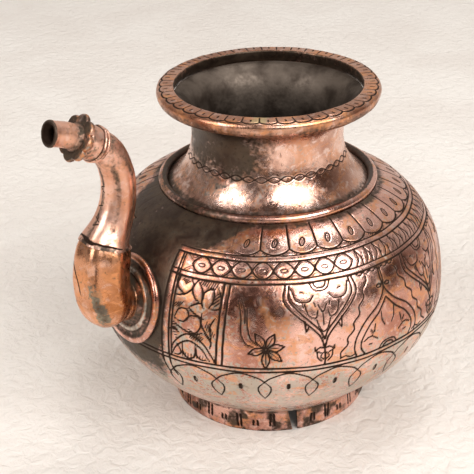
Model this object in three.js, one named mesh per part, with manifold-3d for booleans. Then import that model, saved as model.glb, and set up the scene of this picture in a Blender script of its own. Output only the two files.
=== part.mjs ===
// A copper water jug with a swan-neck spout, piece by piece as a coppersmith makes it:
// two raised bowl halves on a split foot band, a flared neck between a beaded joint and
// a heavy rim, and a spout of flange, bulb, tube, collar, petal flange and tip.
// Millimetres, +Z up. The jug stands on Z = 0 and its spout points towards -X.
import * as THREE from "three";
import { mergeVertices } from "three/addons/utils/BufferGeometryUtils.js";
import Module from "manifold-3d";

const wasm = await Module();
wasm.setup();

// ---- Driving dimensions ----------------------------------------------------------------
const JOINT_GAP = 0.3; // left for solder wherever two pieces meet
const SHEET = 1.4; // beaten sheet of the bowl halves and the neck
const SPOUT_SHEET = 1.2;

const GIRTH = { radius: 108, height: 80 }; // widest circle, where the bowl halves meet
const FOOT = { radius: 62.1, height: 14.4, sheet: 2.2 };
const BASE_HEIGHT = 8; // underside of the bowl's flat bottom
const SHOULDER = { radius: 66.3, height: 145.6 }; // top edge of the upper half
const BEAD = { radius: 63.3, height: 146.4, wire: 2.8 };
const NECK_FOOT = { radius: 60.2, height: 147.2 };
const WAIST = { radius: 45.7, height: 176 };
const NECK_TOP = { radius: 57, height: 197 };
const RIM = { outer: 66.4, inner: 55.2, top: 205.5 };
const FOOT_SPLIT = { azimuth: -115, top: 5.6, bottom: 3.4, lean: 2.2 };

const FLANGE = { radius: 27.3, height: 99.3, rim: 2.6, dish: 1.2, step: 2.2 };
const ROOT = { radius: 11.6, inside: 2.5 }; // spout root, and how far it reaches into the bowl
const SEAM = { reach: 118, height: 139.7, lean: 16 }; // between the bulb and the tube
const BULB = { seamRadius: 14.8, bellyRadius: 15.6, swellTo: 0.4, roundFrom: 0.66 };
const TUBE = { bottomRadius: 10.4, topRadius: 8.8, flare: 4.4, flareLength: 0.11 };
const HEAD = { reach: 116.7, height: 197.9, rise: 31.3 }; // where the collar starts
const COLLAR = { length: 14.2, rear: 9, front: 10.7, bead: 1 };
const PETALS = { count: 8, valley: 11.6, crest: 13.6, thickness: 3 };
const TIP = { radius: 7.5, bore: 4.4, reach: 147, height: 213.2, funnel: 2.6 };

const TIP_START = COLLAR.length + PETALS.thickness + 2 * JOINT_GAP; // along the collar's axis

// ---- Facet counts ------------------------------------------------------------------------
const ROUND = 48; // around the jug
const SPOUT_ROUND = 20; // around the spout
const CURVE_STEPS = 6; // along each Bezier of a profile
const PEAR_RINGS = 12;
const TUBE_RINGS = 14;
const TIP_RINGS = 6;

// ---- Materials ---------------------------------------------------------------------------
function copper(color, roughness) {
  return new THREE.MeshStandardMaterial({ color, roughness, metalness: 1 });
}

const BODY_COPPER = () => copper(0xb86a4c, 0.38);
const RIM_COPPER = () => copper(0xb9765a, 0.42);
const DARK_COPPER = () => copper(0x4a3a33, 0.5);
const SPOUT_COPPER = () => copper(0xc07a4a, 0.4);

// ---- Shape helpers -----------------------------------------------------------------------
const flat = (point) => new THREE.Vector2(point.radius, point.height);

// Turns a closed outline of (radius, height) points about the Z axis.
function revolve(outline, segments = ROUND) {
  const closed = outline[0].x === 0 ? outline : [...outline, outline[0].clone()];
  return new THREE.LatheGeometry(closed, segments).rotateX(Math.PI / 2);
}

// The direction of a line of points at one of them, to second order at its two ends too.
function directionAt(points, i) {
  const last = points.length - 1;
  const sum = (...terms) =>
    terms.reduce((total, [share, k]) => total.addScaledVector(points[k], share), new THREE.Vector2());
  if (i === 0) return sum([-3, 0], [4, 1], [-1, 2]).normalize();
  if (i === last) return sum([3, last], [-4, last - 1], [1, last - 2]).normalize();
  return sum([1, i + 1], [-1, i - 1]).normalize();
}

// The outline of a sheet: its outer face, then the same line moved in by the thickness.
// A line that starts on the axis starts there square to it.
function sheetOutline(outer, thickness) {
  const inner = outer.map((point, i) => {
    const along = point.x === 0 ? new THREE.Vector2(1, 0) : directionAt(outer, i);
    return point.clone().add(new THREE.Vector2(-along.y, along.x).multiplyScalar(thickness));
  });
  return [...outer, ...inner.reverse()];
}

// One closed surface through rings of equal length. A wrapped loft joins its last ring to
// its first, as the wall of a tube does, and any other loft is capped at both ends.
function loft(rings, wrapped) {
  const sides = rings[0].length;
  const corners = rings.flat();
  const index = [];
  const at = (ring, side) => (ring % rings.length) * sides + (side % sides);
  const bands = wrapped ? rings.length : rings.length - 1;
  for (let ring = 0; ring < bands; ring++) {
    for (let side = 0; side < sides; side++) {
      const [a, b] = [at(ring, side), at(ring, side + 1)];
      const [c, d] = [at(ring + 1, side + 1), at(ring + 1, side)];
      index.push(a, b, c, a, c, d);
    }
  }
  if (!wrapped) {
    for (let side = 1; side < sides - 1; side++) {
      const last = rings.length - 1;
      index.push(at(0, 0), at(0, side + 1), at(0, side));
      index.push(at(last, 0), at(last, side), at(last, side + 1));
    }
  }
  return new THREE.BufferGeometry().setFromPoints(corners).setIndex(index);
}

// A circle of points square to a line that lies in the spout's plane, Y = 0.
function ringAcross(centre, along, radius) {
  const sideways = new THREE.Vector3(0, 1, 0);
  const upwards = new THREE.Vector3().crossVectors(along, sideways);
  return Array.from({ length: SPOUT_ROUND }, (_, i) => {
    const angle = (2 * Math.PI * i) / SPOUT_ROUND;
    return centre
      .clone()
      .addScaledVector(sideways, radius * Math.cos(angle))
      .addScaledVector(upwards, radius * Math.sin(angle));
  });
}

// Rings along a curve between two of its parameters, with a radius for each parameter.
function ringsAlong(curve, from, to, steps, radiusAt) {
  return Array.from({ length: steps + 1 }, (_, i) => {
    const t = from + ((to - from) * i) / steps;
    return ringAcross(curve.getPoint(t), curve.getTangent(t), radiusAt(t));
  });
}

function toSolid(geometry) {
  const bare = (geometry.index ? geometry.toNonIndexed() : geometry).clone();
  for (const name of ["normal", "uv"]) bare.deleteAttribute(name);
  const merged = mergeVertices(bare, 1e-3);
  return new wasm.Manifold(
    new wasm.Mesh({
      numProp: 3,
      vertProperties: merged.attributes.position.array,
      triVerts: new Uint32Array(merged.index.array),
    }),
  );
}

function fromSolid(solid) {
  const { vertProperties, triVerts } = solid.getMesh();
  const geometry = new THREE.BufferGeometry();
  geometry.setAttribute("position", new THREE.BufferAttribute(vertProperties, 3));
  geometry.setIndex(new THREE.BufferAttribute(triVerts, 1));
  return geometry;
}

function piece(name, geometry, material) {
  const mesh = new THREE.Mesh(geometry, material);
  mesh.name = name;
  return mesh;
}

// A point of the spout's plane, given by its distance from the jug's axis and its height.
const spoutPoint = (reach, height) => new THREE.Vector3(-reach, 0, height);

// ---- Bowl --------------------------------------------------------------------------------
const lowerHalf = new THREE.Path()
  .moveTo(0, BASE_HEIGHT)
  .lineTo(44, BASE_HEIGHT)
  .quadraticCurveTo(53.7, BASE_HEIGHT, 62, FOOT.height)
  .bezierCurveTo(73.3, 23.1, GIRTH.radius, 46.5, GIRTH.radius, GIRTH.height - JOINT_GAP / 2);

const upperHalf = new THREE.CubicBezierCurve(
  new THREE.Vector2(GIRTH.radius, GIRTH.height + JOINT_GAP / 2),
  new THREE.Vector2(GIRTH.radius, 107.3),
  new THREE.Vector2(98.9, 134.2),
  flat(SHOULDER),
);

// The parameter of the upper half's curve at a height, found by halving.
function parameterAt(height) {
  let [low, high] = [0, 1];
  for (let i = 0; i < 40; i++) {
    const middle = (low + high) / 2;
    if (upperHalf.getPoint(middle).y < height) low = middle;
    else high = middle;
  }
  return low;
}

const flangeParameter = parameterAt(FLANGE.height);
const rootLine = (() => {
  const along = upperHalf.getTangent(flangeParameter);
  const foot = upperHalf.getPoint(flangeParameter);
  return {
    centre: spoutPoint(foot.x, foot.y),
    outwards: new THREE.Vector3(-along.y, 0, -along.x),
  };
})();

// A solid cylinder on the spout root's line, between two distances from the bowl's face.
function rootCylinder(radius, from, to) {
  const ringAt = (distance) =>
    ringAcross(
      rootLine.centre.clone().addScaledVector(rootLine.outwards, distance),
      rootLine.outwards,
      radius,
    );
  return toSolid(loft([ringAt(from), ringAt(to)], false));
}

function lowerBowl() {
  const outer = lowerHalf.getPoints(CURVE_STEPS).filter((point, i) => i === 0 || point.x > 0);
  return revolve(sheetOutline(outer, SHEET));
}

function upperBowl() {
  const shell = toSolid(revolve(sheetOutline(upperHalf.getPoints(CURVE_STEPS + 2), SHEET)));
  const hole = rootCylinder(ROOT.radius + JOINT_GAP, -12, 12);
  return fromSolid(shell.subtract(hole));
}

// ---- Foot --------------------------------------------------------------------------------
// A band of strip bent into a hoop. Its ends don't quite meet, and the slit leans.
function footRing() {
  const slope = 0.72; // of the bowl's underside, which the top edge follows
  const taper = 0.4; // the band leans in a little towards its top
  const top = FOOT.height - 1.5 * JOINT_GAP;
  const inner = FOOT.radius - FOOT.sheet;
  const band = revolve([
    new THREE.Vector2(inner, 0),
    new THREE.Vector2(FOOT.radius, 0),
    new THREE.Vector2(FOOT.radius - taper, top),
    new THREE.Vector2(inner - taper, top - slope * FOOT.sheet),
  ]);
  const slit = new THREE.Shape([
    new THREE.Vector2(-FOOT_SPLIT.bottom / 2, -1),
    new THREE.Vector2(FOOT_SPLIT.bottom / 2, -1),
    new THREE.Vector2(FOOT_SPLIT.top / 2 - FOOT_SPLIT.lean, FOOT.height + 1),
    new THREE.Vector2(-FOOT_SPLIT.top / 2 - FOOT_SPLIT.lean, FOOT.height + 1),
  ]);
  const cutter = new THREE.ExtrudeGeometry(slit, { depth: 20, bevelEnabled: false })
    .translate(0, 0, inner - 10)
    .rotateX(Math.PI / 2)
    .rotateZ(THREE.MathUtils.degToRad(FOOT_SPLIT.azimuth + 90));
  return fromSolid(toSolid(band).subtract(toSolid(cutter)));
}

// ---- Neck and rim ------------------------------------------------------------------------
function neckBaseBead() {
  return new THREE.TorusGeometry(BEAD.radius, BEAD.wire, 10, ROUND).translate(0, 0, BEAD.height);
}

function neck() {
  const flare = new THREE.Path()
    .moveTo(NECK_FOOT.radius, NECK_FOOT.height)
    .bezierCurveTo(51, 153.5, WAIST.radius, 163, WAIST.radius, WAIST.height)
    .bezierCurveTo(WAIST.radius, 187, 49, 193, NECK_TOP.radius, NECK_TOP.height);
  return revolve(sheetOutline(flare.getPoints(CURVE_STEPS), SHEET));
}

// The rim's section: flat on top, a full round outer edge, and a seat on the neck's end.
function rimRing() {
  const seat = { x: NECK_TOP.radius + JOINT_GAP, y: NECK_TOP.height + JOINT_GAP / 2 };
  const section = new THREE.Path()
    .moveTo(seat.x, seat.y)
    .lineTo(RIM.outer - 4.5, RIM.top - 9.9)
    .quadraticCurveTo(RIM.outer, RIM.top - 9.6, RIM.outer, RIM.top - 5.5)
    .quadraticCurveTo(RIM.outer, RIM.top, RIM.outer - 4.3, RIM.top)
    .lineTo(RIM.inner + 1.1, RIM.top)
    .quadraticCurveTo(RIM.inner, RIM.top, RIM.inner, RIM.top - 1.2)
    .lineTo(seat.x - 0.7, seat.y + 1.6);
  return revolve(section.getPoints(4));
}

// ---- Spout -------------------------------------------------------------------------------
function turnedInPlane(direction, degrees) {
  const angle = THREE.MathUtils.degToRad(degrees);
  return direction.applyAxisAngle(new THREE.Vector3(0, 1, 0), angle);
}

const seamAxis = turnedInPlane(new THREE.Vector3(0, 0, 1), SEAM.lean);
const seamPoint = (distance) =>
  spoutPoint(SEAM.reach, SEAM.height).addScaledVector(seamAxis, distance);
const headAxis = turnedInPlane(new THREE.Vector3(-1, 0, 0), HEAD.rise);
const headPoint = (distance) =>
  spoutPoint(HEAD.reach, HEAD.height).addScaledVector(headAxis, distance);

const bulbLine = new THREE.CubicBezierCurve3(
  seamPoint(-JOINT_GAP / 2),
  seamPoint(-10),
  spoutPoint(128.5, 109),
  spoutPoint(112.8, 90.5),
);

// The tube rises from the seam, stands nearly upright at its slimmest, and bows over.
const tubeLine = new THREE.CurvePath();
tubeLine.add(
  new THREE.CubicBezierCurve3(
    seamPoint(JOINT_GAP / 2),
    seamPoint(5.5),
    spoutPoint(106.6, 155),
    spoutPoint(106.6, 173),
  ),
);
tubeLine.add(
  new THREE.CubicBezierCurve3(
    spoutPoint(106.6, 173),
    spoutPoint(106.6, 182),
    headPoint(-7),
    headPoint(0),
  ),
);

// A disc wrapped on the bowl around the spout root: a raised outer rim, a shallow dish,
// and a step round the hole. Each section point is (distance from centre, height above bowl).
function spoutFlange() {
  const hole = ROOT.radius + JOINT_GAP;
  const section = [
    [hole, JOINT_GAP],
    [hole, FLANGE.step],
    [hole + 2, FLANGE.step],
    [hole + 3, FLANGE.dish],
    [FLANGE.radius - 5, FLANGE.dish],
    [FLANGE.radius - 2.5, FLANGE.rim],
    [FLANGE.radius - 0.6, FLANGE.rim - 0.3],
    [FLANGE.radius, JOINT_GAP],
    [FLANGE.radius - 5, JOINT_GAP],
    [hole + 5, JOINT_GAP],
  ];
  return loft(section.map(([distance, height]) => flangeRing(distance, height)), true);
}

// One circle of the flange. Distances run along the bowl's face, up its profile and round it.
function flangeRing(distance, height) {
  const sides = ROUND / 2;
  return Array.from({ length: sides }, (_, i) => {
    const angle = (-2 * Math.PI * i) / sides;
    const [point, outwards] = bowlFace(FLANGE.height, distance * Math.sin(angle));
    const turn = (distance * Math.cos(angle)) / point.x;
    const place = point.addScaledVector(outwards, height);
    return spoutPoint(place.x, place.y).applyAxisAngle(new THREE.Vector3(0, 0, 1), turn);
  });
}

// The bowl's face and its normal, at a distance along the profile from a starting height.
function bowlFace(height, distance) {
  const steps = 24;
  const point = new THREE.Vector2();
  const along = new THREE.Vector2();
  let t = parameterAt(height);
  for (let i = 0; i < steps; i++) {
    const speed = upperHalf.getPoint(t + 1e-3).distanceTo(upperHalf.getPoint(t)) / 1e-3;
    t += distance / steps / speed;
  }
  upperHalf.getPoint(t, point);
  along.subVectors(upperHalf.getPoint(t + 1e-3), point).normalize();
  return [point, new THREE.Vector2(along.y, -along.x)];
}

// Rings of the bulb, a pear that swells below its seam and closes in a round heel.
function pearRings(thinner, to) {
  const scale = (BULB.bellyRadius - thinner) / BULB.bellyRadius;
  const heelLeft = 0.002; // keeps the last ring from shrinking to a point
  const radiusAt = (t) => {
    const swell = Math.sin((Math.PI / 2) * Math.min(1, t / BULB.swellTo));
    const closing = Math.max(0, (t - BULB.roundFrom) / (1 - BULB.roundFrom));
    const radius = THREE.MathUtils.lerp(BULB.seamRadius, BULB.bellyRadius, swell);
    return scale * radius * Math.sqrt(Math.max(heelLeft, 1 - closing ** 2));
  };
  return ringsAlong(bulbLine, 0, to, PEAR_RINGS, (t) => radiusAt(t / to));
}

// The pear and its root are hollow, open at the seam above and into the bowl below.
function spoutBulb() {
  const reach = 9; // from the bowl's face to well inside the pear
  const start = bulbLine.getPoint(0);
  const along = bulbLine.getTangent(0);
  const mouth = start.clone().addScaledVector(along, -1);
  const mouthRing = ringAcross(mouth, along, BULB.seamRadius - SPOUT_SHEET);
  const outside = toSolid(loft(pearRings(0, 1), false)).add(
    rootCylinder(ROOT.radius, -ROOT.inside, reach),
  );
  const hollow = toSolid(loft([mouthRing, ...pearRings(SPOUT_SHEET, 0.96)], false)).add(
    rootCylinder(ROOT.radius - SPOUT_SHEET, -ROOT.inside - 2, reach),
  );
  return fromSolid(outside.subtract(hollow));
}

// The tube tapers upwards, and flares at its foot to meet the bulb.
function spoutTube() {
  const radiusAt = (t) =>
    THREE.MathUtils.lerp(TUBE.bottomRadius, TUBE.topRadius, t) +
    TUBE.flare * Math.exp(-t / TUBE.flareLength);
  const outside = ringsAlong(tubeLine, 0, 1, TUBE_RINGS, radiusAt);
  const inside = ringsAlong(tubeLine, 0, 1, TUBE_RINGS, (t) => radiusAt(t) - SPOUT_SHEET);
  return loft([...outside, ...inside.reverse()], true);
}

// The collar and the petal flange are turned about their own Z axis, and placed by a group.
function collar() {
  const { length, rear, front, bead } = COLLAR;
  const bore = TIP.bore + SPOUT_SHEET;
  const section = new THREE.Path()
    .moveTo(bore, JOINT_GAP)
    .lineTo(rear, JOINT_GAP)
    .absarc(rear, JOINT_GAP + bead, bead, -Math.PI / 2, Math.PI / 2, false)
    .absarc(rear + 0.3, JOINT_GAP + 3 * bead, bead, -Math.PI / 2, Math.PI / 2, false)
    .lineTo(rear + 0.6, 5 * bead)
    .lineTo(front, length - 1.5)
    .lineTo(front - 1, length)
    .lineTo(bore, length);
  return revolve(section.getPoints(3), SPOUT_ROUND);
}

function petalFlange() {
  const middle = (PETALS.crest + PETALS.valley) / 2;
  const swing = (PETALS.crest - PETALS.valley) / 2;
  const steps = PETALS.count * 6;
  const outline = Array.from({ length: steps }, (_, i) => {
    const angle = (2 * Math.PI * i) / steps;
    const lobe = 2 * Math.abs(Math.cos((PETALS.count * angle) / 2)) ** 0.7 - 1;
    const radius = middle + swing * lobe;
    return new THREE.Vector2(radius * Math.cos(angle), radius * Math.sin(angle));
  });
  const shape = new THREE.Shape(outline);
  const hole = new THREE.Path().absarc(0, 0, TIP.bore + SPOUT_SHEET, 0, 2 * Math.PI, true);
  shape.holes.push(hole);
  const bevel = 0.8;
  return new THREE.ExtrudeGeometry(shape, {
    depth: PETALS.thickness - 2 * bevel,
    bevelThickness: bevel,
    bevelSize: bevel,
    bevelOffset: -bevel,
    bevelSegments: 1,
    curveSegments: 12,
  }).translate(0, 0, bevel);
}

// The tip droops a little from the collar's line. Its bore opens in a funnel at the mouth.
function tip() {
  const line = new THREE.QuadraticBezierCurve3(
    headPoint(TIP_START),
    headPoint(TIP_START + 6),
    spoutPoint(TIP.reach, TIP.height),
  );
  const funnelFrom = 1 - TIP.funnel / line.getLength();
  const boreAt = (t) => {
    const opening = Math.max(0, (t - funnelFrom) / (1 - funnelFrom));
    return THREE.MathUtils.lerp(TIP.bore, TIP.radius - 0.7, opening);
  };
  const outside = ringsAlong(line, 0, 1, TIP_RINGS, () => TIP.radius);
  const bore = ringsAlong(line, 0, 1, TIP_RINGS, boreAt);
  return loft([...outside, ...bore.reverse()], true);
}

// ---- Assembly ----------------------------------------------------------------------------
function spoutHead() {
  const head = new THREE.Group();
  const collarMesh = piece("spout_collar", collar(), SPOUT_COPPER());
  const petalMesh = piece("spout_petal_flange", petalFlange(), DARK_COPPER());
  petalMesh.position.z = COLLAR.length + JOINT_GAP;
  head.add(collarMesh, petalMesh);
  head.position.copy(headPoint(0));
  head.rotation.y = THREE.MathUtils.degToRad(HEAD.rise - 90);
  return head;
}

const jug = new THREE.Group();
jug.add(
  piece("foot_ring", footRing(), BODY_COPPER()),
  piece("lower_bowl", lowerBowl(), BODY_COPPER()),
  piece("upper_bowl", upperBowl(), BODY_COPPER()),
  piece("neck_base_bead", neckBaseBead(), BODY_COPPER()),
  piece("neck", neck(), BODY_COPPER()),
  piece("rim_ring", rimRing(), RIM_COPPER()),
  piece("spout_flange", spoutFlange(), DARK_COPPER()),
  piece("spout_bulb", spoutBulb(), SPOUT_COPPER()),
  piece("spout_tube", spoutTube(), SPOUT_COPPER()),
  spoutHead(),
  piece("spout_tip", tip(), SPOUT_COPPER()),
);

// The origin goes under the middle of the whole jug, spout included.
const extent = new THREE.Box3().setFromObject(jug, true);
jug.position.x = -(extent.min.x + extent.max.x) / 2;

export default jug;
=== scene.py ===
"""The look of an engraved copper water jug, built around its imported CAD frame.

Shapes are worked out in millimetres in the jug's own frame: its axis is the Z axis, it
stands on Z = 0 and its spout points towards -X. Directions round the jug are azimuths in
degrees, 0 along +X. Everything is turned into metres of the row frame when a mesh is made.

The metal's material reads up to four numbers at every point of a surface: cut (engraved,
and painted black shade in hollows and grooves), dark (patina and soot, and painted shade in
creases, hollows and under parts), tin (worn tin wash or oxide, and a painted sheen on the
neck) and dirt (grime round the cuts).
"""

import math

import bpy
import numpy as np
from mathutils import Matrix, Vector


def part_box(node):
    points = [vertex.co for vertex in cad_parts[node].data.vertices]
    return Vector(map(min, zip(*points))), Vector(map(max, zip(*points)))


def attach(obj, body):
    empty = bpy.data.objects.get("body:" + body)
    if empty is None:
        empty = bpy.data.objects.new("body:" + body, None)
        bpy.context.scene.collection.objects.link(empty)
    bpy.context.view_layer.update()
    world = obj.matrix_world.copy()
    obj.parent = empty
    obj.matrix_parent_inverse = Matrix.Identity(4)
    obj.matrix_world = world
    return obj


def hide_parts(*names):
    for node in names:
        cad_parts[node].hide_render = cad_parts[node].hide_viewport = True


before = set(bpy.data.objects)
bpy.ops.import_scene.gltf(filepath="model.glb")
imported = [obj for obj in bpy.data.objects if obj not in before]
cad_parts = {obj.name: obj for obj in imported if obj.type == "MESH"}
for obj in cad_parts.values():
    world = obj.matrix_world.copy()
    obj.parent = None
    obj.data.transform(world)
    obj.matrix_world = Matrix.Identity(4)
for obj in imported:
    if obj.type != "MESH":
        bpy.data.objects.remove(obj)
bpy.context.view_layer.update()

MM = 0.001
RIM_LOW, RIM_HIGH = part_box("rim_ring")
JUG_X = (RIM_LOW[0] + RIM_HIGH[0]) / 2  # the jug's axis in the row frame, in metres

# ---- Shapes shared with the CAD frame, in millimetres ---------------------------------
SHEET = 1.4
GIRTH = (108.0, 80.0)  # (radius, height) of the widest circle
FOOT_RADIUS, FOOT_HEIGHT, FOOT_SHEET = 62.1, 14.4, 2.2
SPLIT_AZIMUTH = -115.0
BASE_HEIGHT = 8.0
SHOULDER = (66.3, 145.6)
BEAD, BEAD_WIRE = (63.3, 146.4), 2.8
NECK_FOOT = (60.2, 147.2)
WAIST = (45.7, 176.0)
NECK_TOP = (57.0, 197.0)
FLANGE_HEIGHT, FLANGE_RADIUS = 99.3, 27.0
SEAM, SEAM_LEAN = (118.0, 139.7), 16.0  # (reach, height) of the joint of bulb and tube
HEAD, HEAD_RISE = (116.7, 197.9), 31.3  # where the collar starts, and the way it points
SPOUT_AZIMUTH = 180.0
COLLAR_END = 14.2  # along the spout's head, as are the next two
PETALS_BACK, PETALS_FRONT = 14.5, 17.4

# ---- Where the jug is seen and lit from --------------------------------------------------
FRONT_AZIMUTH = -129.6  # the side of the jug that faces the camera
LENS, SENSOR_WIDTH = 94.94, 36
CAMERA_TURN, CAMERA_RISE, CAMERA_ROLL, CAMERA_DISTANCE = -38.0, 27.43, -1.371, 777.78
CAMERA_AIM = (-19.52, 103.43)  # (mm to the right of the axis, height) in the picture's middle


# ---- Curves -----------------------------------------------------------------------------
def bezier(*corners, steps=48):
    """Points of a Bezier curve of any degree through its control points."""
    corners = np.array(corners, float)
    degree = len(corners) - 1
    t = np.linspace(0, 1, steps + 1)[:, None]
    return sum(
        math.comb(degree, k) * t**k * (1 - t) ** (degree - k) * corners[k] for k in range(degree + 1)
    )


def joined(*parts):
    """One line of points from several that follow each other."""
    return np.vstack([parts[0]] + [part[1:] for part in parts[1:]])


def lengths(points):
    """Distance along a line of points, at each of them."""
    steps = np.linalg.norm(np.diff(points, axis=0), axis=1)
    return np.concatenate([[0], np.cumsum(steps)])


def resampled(line, count):
    """The same line with count points, evenly apart."""
    reach = lengths(line)
    wanted = np.linspace(0, reach[-1], count)
    return np.stack([np.interp(wanted, reach, column) for column in line.T], axis=1)


def smooth_through(points, steps=8):
    """A Catmull-Rom curve through every one of the points."""
    p = np.array(points, float)
    if len(p) == 2:
        return p
    p = np.vstack([2 * p[0] - p[1], p, 2 * p[-1] - p[-2]])
    t = np.linspace(0, 1, steps, endpoint=False)[:, None]
    spans = [
        0.5 * (2 * b + (c - a) * t + (2 * a - 5 * b + 4 * c - d) * t**2 + (3 * b - a - 3 * c + d) * t**3)
        for a, b, c, d in zip(p, p[1:], p[2:], p[3:])
    ]
    return np.vstack(spans + [p[-2][None]])


def smoothstep(low, high, value):
    t = np.clip((value - low) / (high - low), 0, 1)
    return t * t * (3 - 2 * t)


def line_mark(gap, half_width, soft):
    """1 on a thin line, fading to 0 beyond it. gap is the distance to its middle."""
    return np.clip((half_width - np.abs(gap)) / soft, 0, 1)


def ripple(points, size, seed):
    """Smooth value noise from -1 to 1 at (..., 3) points, with lumps about size across."""
    lattice = np.random.RandomState(seed).uniform(-1, 1, (16, 16, 16))
    cell = np.floor(points / size).astype(int)
    t = points / size - cell
    t = t * t * (3 - 2 * t)
    total = 0
    for corner in np.ndindex(2, 2, 2):
        share = np.prod(np.where(corner, t, 1 - t), axis=-1)
        total = total + share * lattice[tuple(np.moveaxis((cell + corner) % 16, -1, 0))]
    return total


def around(radius, turn, height):
    """Points from radii, turns in radians and heights."""
    flat = 0 * radius * turn
    return np.stack([radius * np.cos(turn), radius * np.sin(turn), height + flat], axis=-1)


def turns(sides):
    """Angles all the way round, in radians."""
    return np.arange(sides) * 2 * math.pi / sides


# ---- Meshes -----------------------------------------------------------------------------
def to_row_frame(points):
    return points * MM + np.array([JUG_X, 0, 0])


def placed_in_scene(name, mesh):
    item = bpy.data.objects.new(name, mesh)
    bpy.context.scene.collection.objects.link(item)
    return item


def paint_points(mesh, fields):
    """Stores each field's numbers at the mesh's points."""
    for field, values in fields.items():
        layer = mesh.attributes.new(field, "FLOAT", "POINT")
        layer.data.foreach_set("value", np.asarray(values, np.float32).ravel())


def grid_faces(rows, columns, wrap_rows):
    """Quads of a grid whose columns go round, and whose rows too if wrap_rows."""
    r = np.arange(rows if wrap_rows else rows - 1)[:, None]
    c = np.arange(columns)[None, :]
    up, on = (r + 1) % rows, (c + 1) % columns
    corners = [r * columns + c, r * columns + on, up * columns + on, up * columns + c]
    return np.stack(corners, axis=-1).reshape(-1, 4)


def skin(name, rings, materials, fields=None, wrap_rows=True, second=None):
    """A piece from an array of rings, (rings, sides, 3). A skin that doesn't wrap is closed
    with a flat face at either end. second says which faces take the second material."""
    rows, columns = rings.shape[:2]
    faces = grid_faces(rows, columns, wrap_rows).tolist()
    if not wrap_rows:
        faces.append(list(range(columns))[::-1])
        faces.append(list(range((rows - 1) * columns, rows * columns)))
        if second is not None:
            second = np.concatenate([second, [second[0], second[-1]]])
    mesh = bpy.data.meshes.new(name)
    mesh.from_pydata(to_row_frame(rings.reshape(-1, 3)), [], faces)
    paint_points(mesh, fields or {})
    for material in materials:
        mesh.materials.append(material)
    if second is not None:
        mesh.polygons.foreach_set("material_index", np.asarray(second, np.int32))
    mesh.polygons.foreach_set("use_smooth", np.ones(len(mesh.polygons), bool))
    mesh.set_sharp_from_angle(angle=math.radians(50))
    mesh.update()
    return placed_in_scene(name, mesh)


def turned_over(name, rings, materials, fields=None, wrap_rows=True):
    """A skin whose rings go round the other way, turned so that its faces look outwards."""
    fields = {field: values[:, ::-1] for field, values in (fields or {}).items()}
    return skin(name, rings[:, ::-1], materials, fields, wrap_rows)


def carried_on(fields, rows, **values):
    """Fields carried on over more rows, where they have the values given, or 0."""
    return {
        field: np.concatenate([grid, np.full((rows, grid.shape[1]), float(values.get(field, 0)))])
        for field, grid in fields.items()
    }


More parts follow.
